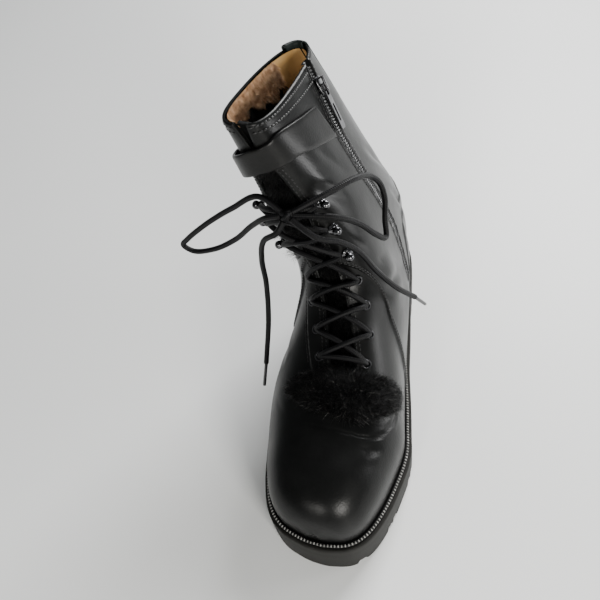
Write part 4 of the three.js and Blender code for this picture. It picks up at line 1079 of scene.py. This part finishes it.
# %% Stitches
stitch_shape = turned_profile("stitch shape", [
    [0, -1.0], [0.2, -0.92], [0.3, -0.6], [0.32, 0], [0.3, 0.6], [0.2, 0.92], [0, 1.0],
], 6)
templates.append(stitch_shape)
stitch_places = []
stitch_frames = []
stitch_sizes = []


def sew(line, sideways, pitch=2.6, big=1.0):
    """Adds a row of stitches along a line of stations and degrees, moved sideways in millimetres."""
    line = np.asarray(line, float)
    k = np.linspace(0, len(line) - 1, 600)
    u = np.interp(k, np.arange(len(line)), line[:, 0])
    deg = np.interp(k, np.arange(len(line)), line[:, 1])
    _, per_station, per_degree = skin_frame(u, deg)
    du = np.gradient(u) * per_station
    dd = np.gradient(deg) * per_degree
    size = np.maximum(np.hypot(du, dd), 1e-9)
    u = u + sideways * dd / size / per_station
    deg = deg - sideways * du / size / per_degree
    p = skin_point(u, deg)
    run = np.concatenate([[0], np.cumsum(np.linalg.norm(np.diff(p, axis=0), axis=1))])
    at = np.arange(pitch / 2, run[-1], pitch)
    u = np.interp(at, run, u)
    deg = np.interp(at, run, deg)
    place = skin(u, deg, leather_rise(u, deg) + 0.05)
    way = unit(np.gradient(place, axis=0))
    out = skin_frame(u, deg)[0]
    out = unit(out - way * (out * way).sum(-1, keepdims=True))
    stitch_places.extend(metres(place))
    stitch_frames.extend(np.stack([np.cross(out, way), out, way], 1))
    stitch_sizes.extend([[1.15 * big, 1.15 * big, min(big, 1.25)]] * len(place))


us = np.linspace(0.352, 0.9, 40)
for sideways in (2.0, 4.6):
    sew(np.column_stack([us, along_straight(throat, us)[0]]), -sideways)
    sew(np.column_stack([us, along_straight(throat, us)[1]]), sideways)
mm_per_station_at_panel = 330.0
mm_per_station_at_collar = 230
for start, end in ((12, 116), (-24, -112)):
    degs = np.linspace(start, end, 40)
    for rise_mm in (1.6, 4.0):
        edge = along(panel_edge, degs)[:, 0]
        sew(np.column_stack([edge + rise_mm / mm_per_station_at_panel, degs]), 0)
us = np.linspace(0.62, 0.995, 60)
for sideways in (6.0, -6.0):
    sew(np.column_stack([us, along(zip_path, us)[:, 0]]), sideways)
for drop in (1.8, 4.4):
    degs = np.linspace(10, 116, 30)
    sew(np.column_stack([np.full(30, 1 - drop / mm_per_station_at_collar), degs]), 0, 2.6, 1.7)
    degs = np.linspace(-8, -150, 30)
    sew(np.column_stack([np.full(30, 1 - drop / mm_per_station_at_collar), degs]), 0)
facing = np.column_stack([np.linspace(0.35, 0.55, 20), along(facing_edge, np.linspace(0.35, 0.55, 20))[:, 0]])
sew(facing, 1.6)
stitches = repeat("stitches", stitch_places, stitch_frames, stitch_sizes, stitch_shape, thread)
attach(stitches, "boot")
print("stitches", len(stitch_places))


# %% [markdown]
# The strap is a plain leather band round the front of the collar. It is sewn down near the zip and stands off
# the shaft at the outer front corner, where its thickness shows. The pull tab is a short band folded over the
# rim at the back. Both are slabs between two depths over the skin; the strap's edges are rounded.

# %% Slab on the skin
def skin_slab(name, place, low, high, na, nb, finish, bevel=0.0006):
    """Closed slab: place gives station and degrees of two shares, low and high its depths over the skin."""
    a = np.linspace(0, 1, na + 1)[:, None] + np.zeros((1, nb + 1))
    b = np.linspace(0, 1, nb + 1)[None, :] + np.zeros((na + 1, 1))
    u, deg = place(a, b)
    layers = [skin(u, deg, low(a, b)), skin(u, deg, high(a, b))]
    points = np.concatenate([layer.reshape(-1, 3) for layer in layers])
    size = (na + 1) * (nb + 1)
    net = grid_faces(na + 1, nb + 1)
    faces = [tuple(q[::-1]) for q in net] + [tuple(q + size) for q in net]
    edge = [i * (nb + 1) for i in range(na + 1)] + [na * (nb + 1) + j for j in range(1, nb + 1)]
    edge += [i * (nb + 1) + nb for i in range(na - 1, -1, -1)] + list(range(nb - 1, 0, -1))
    for i, v in enumerate(edge):
        w = edge[(i + 1) % len(edge)]
        faces.append((v, w, w + size, v + size))
    piece = tidy_mesh(new_piece(name, metres(points), faces, finish))
    if bevel:
        soften = piece.modifiers.new("rounded edge", "BEVEL")
        soften.width = bevel
        soften.segments = 3
        soften.limit_method = "ANGLE"
        soften.angle_limit = math.radians(50)
        apply_modifiers(piece)
    return piece


# %% Strap and pull tab
strap_line = np.array([
    [-99, 0.934, 0], [-75, 0.94, 0], [-45, 0.941, 0], [-16, 0.929, 0.05], [0, 0.921, 0.3], [20, 0.908, 0.8],
    [45, 0.893, 1], [65, 0.889, 0.7], [85, 0.889, 0.15], [105, 0.892, 0], [125, 0.896, 0],
])
strap_half = 0.027
strap_standoff = 3.0
strap_thickness = 1.9
tab_thickness = 1.1


def strap_place(a, b):
    deg = 99 - 224 * a
    return along(strap_line, -deg)[..., 0] + (2 * b - 1) * strap_half, deg


def strap_low(a, b):
    deg = 99 - 224 * a
    standoff = strap_standoff * np.maximum(along(strap_line, -deg)[..., 1], 0)
    return overlay + 0.45 + standoff - 0.25 * (np.abs(2 * b - 1) > 0.9)


strap = skin_slab("strap_band", strap_place, strap_low, lambda a, b: strap_low(a, b) + strap_thickness,
                  160, 12, strap_leather)
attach(strap, "boot")
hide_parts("strap")


def tab_place(a, b):
    u = np.interp(a, [0, 0.44, 0.5, 0.56, 1], [0.93, 1.001, 1.005, 1.002, 0.998])
    return u, -150 - 42 * b


def tab_low(a, b):
    return np.interp(a, [0, 0.44, 0.47, 0.5, 0.53, 0.56, 1], [1.4, 1.2, 0.5, -0.8, -1.6, -1.9, -1.9])


pull_tab = skin_slab("back_tab", tab_place, tab_low, lambda a, b: tab_low(a, b) + tab_thickness,
                     60, 12, tab_leather, 0)
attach(pull_tab, "boot")
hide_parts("pull_tab")
print("strap and tab made")

# %% [markdown]
# The zip is a cloth tape with two rows of small coils that lock in the middle. The tape lies in the slot
# between the folded edges of the leather. Each tooth is one small capsule laid across the tape.

# %% Zip tape and teeth
zip_from = 0.616
zip_to = 0.994
tape_half = 3.1
tooth_pitch = 0.95
tooth_stretch = 1.25


def zip_place(a, b):
    u = zip_from + (zip_to - zip_from) * a
    deg = along(zip_path, u)[..., 0]
    per_degree = skin_frame(u, deg)[2]
    return u, deg + (2 * b - 1) * tape_half / per_degree


def tape_top(a, b):
    """The tape is raised in its middle, where the teeth lie."""
    return -0.5 + 0.6 * (np.abs(2 * b - 1) < 0.6)


tape = skin_slab("zip_tape_cloth", zip_place, lambda a, b: -1.4 + 0 * a, tape_top, 150, 12, zip_cloth, 0)
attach(tape, "boot")
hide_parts("zip_tape")
us = np.linspace(zip_from, zip_to, 1200)
line = skin(us, along(zip_path, us)[:, 0], 0.1)
run = np.concatenate([[0], np.cumsum(np.linalg.norm(np.diff(line, axis=0), axis=1))])
at = np.arange(0.5, run[-1], tooth_pitch)
u_teeth = np.interp(at, run, us)
deg_teeth = along(zip_path, u_teeth)[:, 0]
out, _, per_degree = skin_frame(u_teeth, deg_teeth)
side_shift = np.where(np.arange(len(at)) % 2 == 0, 0.9, -0.9)
place = skin(u_teeth, deg_teeth + side_shift / per_degree, 0.45 + 0.15 * chance.random(len(at)))
way = unit(np.gradient(skin(u_teeth, deg_teeth, 0.0), axis=0))
across = unit(np.cross(way, out))
frames = np.stack([np.cross(out, across), out, across], 1)
tooth_shape = turned_profile("tooth shape", [
    [0, -1.5], [0.35, -1.35], [0.5, -0.8], [0.45, 0.4], [0.62, 0.9], [0.45, 1.35], [0, 1.5],
], 7)
templates.append(tooth_shape)
stretches = np.full((len(at), 3), tooth_stretch)
frames[side_shift < 0] *= np.array([-1, 1, -1])[None, :, None]
teeth = repeat("zip_teeth", metres(place), frames, stretches, tooth_shape, zip_black)
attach(teeth, "boot")
print("zip teeth", len(at))


# %% Zip slider and its pull
def frame_at(u, deg, off, up):
    """Matrix of a place on the skin, with Y towards up and Z outwards."""
    out = skin_frame(np.array(u), np.array(deg))[0]
    rise = unit(up - out * np.dot(up, out))
    across = np.cross(rise, out)
    m = Matrix(np.stack([across, rise, out], 1).tolist()).to_4x4()
    m.translation = Vector(metres(skin(u, deg, off)))
    return m


slider_station = 0.972
slider_deg = float(along(zip_path, np.array(slider_station))[0])
slot_from = 0.612
upper_place, lower_place = (np.array(slot_from + (1 - slot_from) * share) for share in (0.98, 0.84))
zip_up = skin_point(upper_place, along(zip_path, upper_place)[0])
zip_up = zip_up - skin_point(lower_place, along(zip_path, lower_place)[0])
slider_frame = frame_at(slider_station, slider_deg, overlay, zip_up)


def outline_slab(outline, low, high):
    """Flat plate from an outline in millimetres."""
    n = len(outline)
    points = [(x, y, low) for x, y in outline] + [(x, y, high) for x, y in outline]
    faces = [tuple(range(n))[::-1], tuple(range(n, 2 * n))]
    faces += [(i, (i + 1) % n, (i + 1) % n + n, i + n) for i in range(n)]
    return points, faces


def placed_piece(name, parts, matrix, finish, bevel):
    """Plates joined in one mesh, rounded and set in a frame."""
    points = []
    faces = []
    for part_points, part_faces in parts:
        start = len(points)
        points += part_points
        faces += [tuple(start + v for v in f) for f in part_faces]
    piece = new_piece(name, [tuple(np.array(p) / 1000) for p in points], faces, finish, False)
    soften = piece.modifiers.new("rounded edge", "BEVEL")
    soften.width = bevel
    soften.segments = 3
    soften.limit_method = "ANGLE"
    apply_modifiers(piece)
    piece.data.transform(matrix)
    piece.data.polygons.foreach_set("use_smooth", [True] * len(piece.data.polygons))
    return tidy_mesh(piece, 0.000005)


def post(low_y, high_y, low, high, half):
    """Block from low_y to high_y along the slider."""
    return outline_slab([(-half, low_y), (half, low_y), (half, high_y), (-half, high_y)], low, high)


body_outline = [
    (-3.0, -5.5), (3.0, -5.5), (3.6, -2.0), (4.0, 2.5), (3.4, 5.0), (1.4, 5.5), (-1.4, 5.5), (-3.4, 5.0),
    (-4.0, 2.5), (-3.6, -2.0),
]
slider_parts = [
    outline_slab(body_outline, 1.0, 2.4),
    post(-4.4, 4.4, 0.1, 1.1, 1.3),
    post(3.4, 4.4, 2.2, 5.6, 1.1),
    post(-4.4, -3.4, 2.2, 5.6, 1.1),
    post(-4.4, 4.4, 4.4, 5.6, 1.1),
]
slider = placed_piece("zip_slider_body", slider_parts, slider_frame, dark_nickel, 0.0003)
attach(slider, "boot")
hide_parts("zip_slider")
body_top = 2.4
pull_gap = 0.3
pull_half = 0.7
pull_frame = slider_frame @ Matrix.Translation(Vector((0, 0, (body_top + pull_gap + pull_half) / 1000)))


def ring_plate(outer, holes, half):
    """Plate with openings: its loops are filled as one face and pushed up to twice the half."""
    work = bmesh.new()
    edges = []
    for loop in [outer] + holes:
        verts = [work.verts.new((x / 1000, y / 1000, -half / 1000)) for x, y in loop]
        edges += [work.edges.new((verts[i], verts[(i + 1) % len(verts)])) for i in range(len(verts))]
    bmesh.ops.triangle_fill(work, edges=edges, use_beauty=True)
    made = bmesh.ops.extrude_face_region(work, geom=work.faces[:])
    moved = [v for v in made["geom"] if isinstance(v, bmesh.types.BMVert)]
    bmesh.ops.translate(work, verts=moved, vec=(0, 0, 2 * half / 1000))
    bmesh.ops.recalc_face_normals(work, faces=work.faces)
    mesh = bpy.data.meshes.new("pull plate")
    work.to_mesh(mesh)
    work.free()
    return mesh


pull_outline = [
    (-2.9, 0.4), (-2.9, -7.4), (-3.1, -9.8), (-3.5, -26.5), (-3.0, -27.6), (-1.9, -28), (1.9, -28),
    (3.0, -27.6), (3.5, -26.5), (3.1, -9.8), (2.9, -7.4), (2.9, 0.4), (2.0, 0.7), (-2.0, 0.7),
]
eye = [(-1.7, -0.7), (1.7, -0.7), (1.7, -6.0), (1.1, -6.8), (-1.1, -6.8), (-1.7, -6.0)]
slot_hole = [(-0.9, -12.3), (0.9, -12.3), (0.9, -22.6), (0.5, -23), (-0.5, -23), (-0.9, -22.6)]
pull = bpy.data.objects.new("zip_pull_plate", ring_plate(pull_outline, [eye, slot_hole], pull_half))
bpy.context.collection.objects.link(pull)
pull.data.materials.append(dark_nickel)
soften = pull.modifiers.new("rounded edge", "BEVEL")
soften.width = 0.00035
soften.segments = 3
soften.limit_method = "ANGLE"
soften.angle_limit = math.radians(40)
apply_modifiers(pull)
pull.data.transform(pull_frame)
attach(pull, "zip_pull")
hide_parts("zip_pull")
print("slider", len(slider.data.polygons), "pull", len(pull.data.polygons))

# %% [markdown]
# Fur is hair. One straight strand with a sharp tip is repeated thousands of times by the same tree as the
# stitches, and the tree bends each copy over. A particle system could comb it too, but it would have to be
# made a mesh for the export. Each strand follows the way the fur is combed, with some chance mixed in, and a
# dark base under it closes the gaps.

# %% One strand, and the helper that plants it
strand_shares = (0, 0.35, 0.7)
strand_taper = 0.55
corners = np.arange(3) / 3 * 2 * np.pi
rings = [
    np.stack([np.cos(corners), np.sin(corners), 0 * corners], -1) * (1 - strand_taper * t) + [0, 0, t]
    for t in strand_shares
]
strand_faces = [tuple(q) for q in grid_faces(3, 3, False, True)] + [(6, 7, 9), (7, 8, 9), (8, 6, 9)]
strand_shape = new_piece("strand shape", np.concatenate(rings + [[[0, 0, 1.0]]]), strand_faces, black_fur)
share = strand_shape.data.attributes.new("share", "FLOAT", "POINT")
share.data.foreach_set("value", np.append(np.repeat(strand_shares, 3), 1.0).astype(np.float32))
templates.append(strand_shape)


def hair(name, places, roots, length, width, finish, bend=0.35):
    """Strands at places in millimetres. roots holds their directions, and the ways they bend over."""
    direction, comb = roots
    lengths = length * (0.6 + 0.7 * chance.random(len(places)))
    z = unit(direction)
    y = unit(comb - z * (comb * z).sum(-1, keepdims=True))
    x = np.cross(y, z)
    bends = bend * (0.5 + chance.random(len(places)))
    bows = (y - 0.25 * z) * (lengths * bends)[:, None] / 1000
    widths = np.full(len(places), width)
    stretches = np.stack([widths, widths, lengths], -1)
    return repeat(name, metres(places), np.stack([x, y, z], 1), stretches, strand_shape, finish, bows)


print("strand", len(strand_faces), "faces")

# %% Fur patch on the vamp
fur_station = 0.297
fur_degrees = 17.0
fur_reach = 0.046
fur_turn = 49.0
fur_dome = 7.6


def fur_point(r, turn_at):
    deg = fur_degrees + fur_turn * r * np.sin(turn_at)
    tilt = 0.0013 * np.maximum(deg - 22, 0) + 0.0001 * np.minimum(deg - 22, 0)
    return fur_station + tilt + fur_reach * r * np.cos(turn_at), deg


rings = [
    (0.02, fur_dome - 2.6), (0.25, fur_dome - 2.7), (0.55, 0.93 * fur_dome - 2.6),
    (0.78, 0.72 * fur_dome - 2.2),
    (0.9, 0.4 * fur_dome - 1.4), (0.95, 0.3), (0.95, 0.0), (0.5, 0.0),
]
spin = np.arange(48) / 48 * 2 * np.pi
points = np.array([skin(*fur_point(r, spin), off) for r, off in rings])
dome_faces = grid_faces(len(rings), 48, False, True)
dome = new_piece("vamp_fur_base", metres(points).reshape(-1, 3), dome_faces, fur_backing)
tidy_mesh(dome)
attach(dome, "boot")
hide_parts("vamp_fur")
amount = 11000
r = np.sqrt(chance.random(amount)) * 0.99
turn_at = chance.random(amount) * 2 * np.pi
u, deg = fur_point(r, turn_at)
base_off = (fur_dome - 3.4) * np.sqrt(np.maximum(1 - r**3, 0))
place = skin(u, deg, base_off)
out = skin_frame(u, deg)[0]
centre = skin(fur_station, fur_degrees, 0.0)
away = unit(place - centre)
swirl = np.stack([np.sin(u * 70 + deg * 0.09), np.cos(u * 60 - deg * 0.13), np.sin(deg * 0.17 + 1)], -1)
edge_lean = (r**3)[:, None]
direction = unit(out * (1.0 - 0.6 * edge_lean) + away * (0.2 + 0.9 * edge_lean) + 0.35 * swirl
                 + 0.28 * chance.normal(size=(amount, 3)))
comb = away + 0.7 * swirl + 0.5 * chance.normal(size=(amount, 3))
vamp_fur = hair("vamp_fur_hair", place, (direction, comb), 5.6, 0.13, black_fur, 0.6)
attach(vamp_fur, "boot")
# One strand in a hundred gets the light finish: painted glints on the fur.
pick = chance.random(amount) < 0.01
painted_glints = hair("vamp_fur_glints", place[pick], (direction[pick], comb[pick]), 6.2, 0.12, painted_glint_fur, 0.6)
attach(painted_glints, "boot")
print("vamp fur", amount, "strands")

# %% [markdown]
# The tongue is a leather backing under both edges of the throat, covered in the same fur. The backing is a
# slab below the leather; the hair stands on it and fills the throat between the facings.

# %% Tongue and its fur
def throat_middle(u):
    inner, outer = along_straight(throat, u)
    return (inner + outer) / 2, (inner - outer) / 2


def tongue_place(a, b):
    u = 0.35 + (0.985 - 0.35) * a
    middle, half = throat_middle(u)
    reach = half + 13 / skin_frame(u, middle)[2] * (1 - 0.25 * a)
    return u, middle + (2 * b - 1) * reach


tongue = skin_slab("tongue_leather", tongue_place, lambda a, b: -6.4 + 0 * a, lambda a, b: -3.2 + 0 * a,
                   70, 20, fur_backing, 0)
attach(tongue, "boot")
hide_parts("tongue")
amount = 9500
u = 0.35 + 0.6 * chance.random(amount)
middle, half = throat_middle(u)
side = (2 * chance.random(amount) - 1) * 0.96
deg = middle + side * half
out = skin_frame(u, deg)[0]
place = skin(u, deg, -2.9)
toe_way = -unit(skin_point(u + 0.01, deg) - skin_point(u - 0.01, deg))
sideways = unit(np.cross(out, toe_way))
swirl = np.sin(u * 90)[:, None] * sideways
direction = unit(out + toe_way * 0.35 + 0.35 * swirl + 0.3 * chance.normal(size=(amount, 3)))
comb = toe_way + swirl + 0.4 * chance.normal(size=(amount, 3))
throat_fur = hair("throat_fur_hair", place, (direction, comb), 5.6, 0.13, black_fur, 0.5)
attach(throat_fur, "boot")
print("throat fur", amount, "strands")

# %% Nap and fur of the lining
for name, amount, low, high, length, width, finish in (
    ("lining_nap", 9000, 0.97, 0.998, 5.5, 0.09, tan_fur),
    ("lining_fur", 5200, 0.86, 0.966, 7.0, 0.11, black_fur),
):
    deg = -128 + 112 * chance.random(amount)
    low_here = low + 0.008 * np.sin(deg * 0.13) + 0.006 * np.sin(deg * 0.41) if name == "lining_nap" else low
    u = low_here + (high - low_here) * chance.random(amount)
    out = skin_frame(u, deg)[0]
    foot_way = -unit(skin_point(u + 0.01, deg) - skin_point(u - 0.01, deg))
    wisp = 0.14 * np.sin(deg * 0.9 + 3 * np.sin(u * 300))[:, None] * np.cross(out, foot_way)
    direction = unit(-0.22 * out + foot_way + wisp + 0.1 * chance.normal(size=(amount, 3)))
    comb = -out + wisp + 0.3 * chance.normal(size=(amount, 3))
    piece = hair(name, skin(u, deg, -1.6), (direction, comb), length, width, finish, 0.15)
    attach(piece, "boot")
    print(name, amount, "strands")

# %% Hair that pokes out beside the outer hooks
amount = 160
u = 0.60 + 0.09 * chance.random(amount)
deg = -30 - 16 * chance.random(amount)
out = skin_frame(u, deg)[0]
away = np.array([-1.0, -0.35, 0.1])
direction = unit(0.6 * out + away + 0.5 * chance.normal(size=(amount, 3)))
comb = chance.normal(size=(amount, 3))
piece = hair("loose_hair", skin(u, deg, 0.8), (direction, comb), 6.5, 0.09, black_fur, 0.4)
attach(piece, "boot")

# %% [markdown]
# The insole keeps its solid, which is seen only from straight above, and gets a cloth finish. The templates
# of the repeated shapes are taken out of the scene, because only their copies belong to the boot.

# %% Insole and the last tidying
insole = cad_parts["insole"]
insole.data.materials.clear()
insole.data.materials.append(insole_cloth)
for shape in templates:
    bpy.data.objects.remove(shape)

# %% [markdown]
# The studio is a pale floor lit by one wide soft light from behind, so that no flat part of the vamp mirrors
# it. Three smaller lights stand where the leather mirrors them at the highlights of the photograph: two for
# the toe cap and one low at the side for the streak down the shaft. The surround is dim, so that black
# leather stays black.

# %% Floor, lights and surround
floor_finish, tree, shader, place = new_finish("floor", (0.72, 0.73, 0.73), 0.45)
two_tone(tree, shader, noise(tree, place, 2.2, 2), (0.76, 0.77, 0.765), (0.84, 0.845, 0.835))
floor_corners = [(-3, -3, 0), (3, -3, 0), (3, 3, 0), (-3, 3, 0)]
floor = new_piece("floor", floor_corners, [(0, 1, 2, 3)], floor_finish, False)
world = bpy.data.worlds.new("studio")
world.use_nodes = True
world.node_tree.nodes["Background"].inputs["Color"].default_value = (0.8, 0.84, 0.86, 1)
world.node_tree.nodes["Background"].inputs["Strength"].default_value = 0.22
bpy.context.scene.world = world


def soft_light(name, place, target, size, power, colour=(1, 1, 1)):
    data = bpy.data.lights.new(name, "AREA")
    data.size = size
    data.energy = power
    data.color = colour
    lamp = bpy.data.objects.new(name, data)
    lamp.location = place
    lamp.rotation_euler = (Vector(target) - Vector(place)).to_track_quat("-Z", "Y").to_euler()
    bpy.context.collection.objects.link(lamp)


soft_light("back light", (0.35, 1.55, 1.35), (0, 0.05, 0), 1.0, 75)
soft_light("toe light", (0.64, -0.65, 0.42), (0.02, -0.1, 0.06), 0.26, 8.5, (1, 0.98, 0.93))
soft_light("small toe light", (-0.04, -0.92, 0.47), (0, -0.12, 0.06), 0.16, 3.2, (1, 0.98, 0.93))
soft_light("shaft light", (0.78, 0.32, 0.2), (-0.02, 0.02, 0.2), 0.22, 3.5)
print("lights", len(bpy.data.lights))
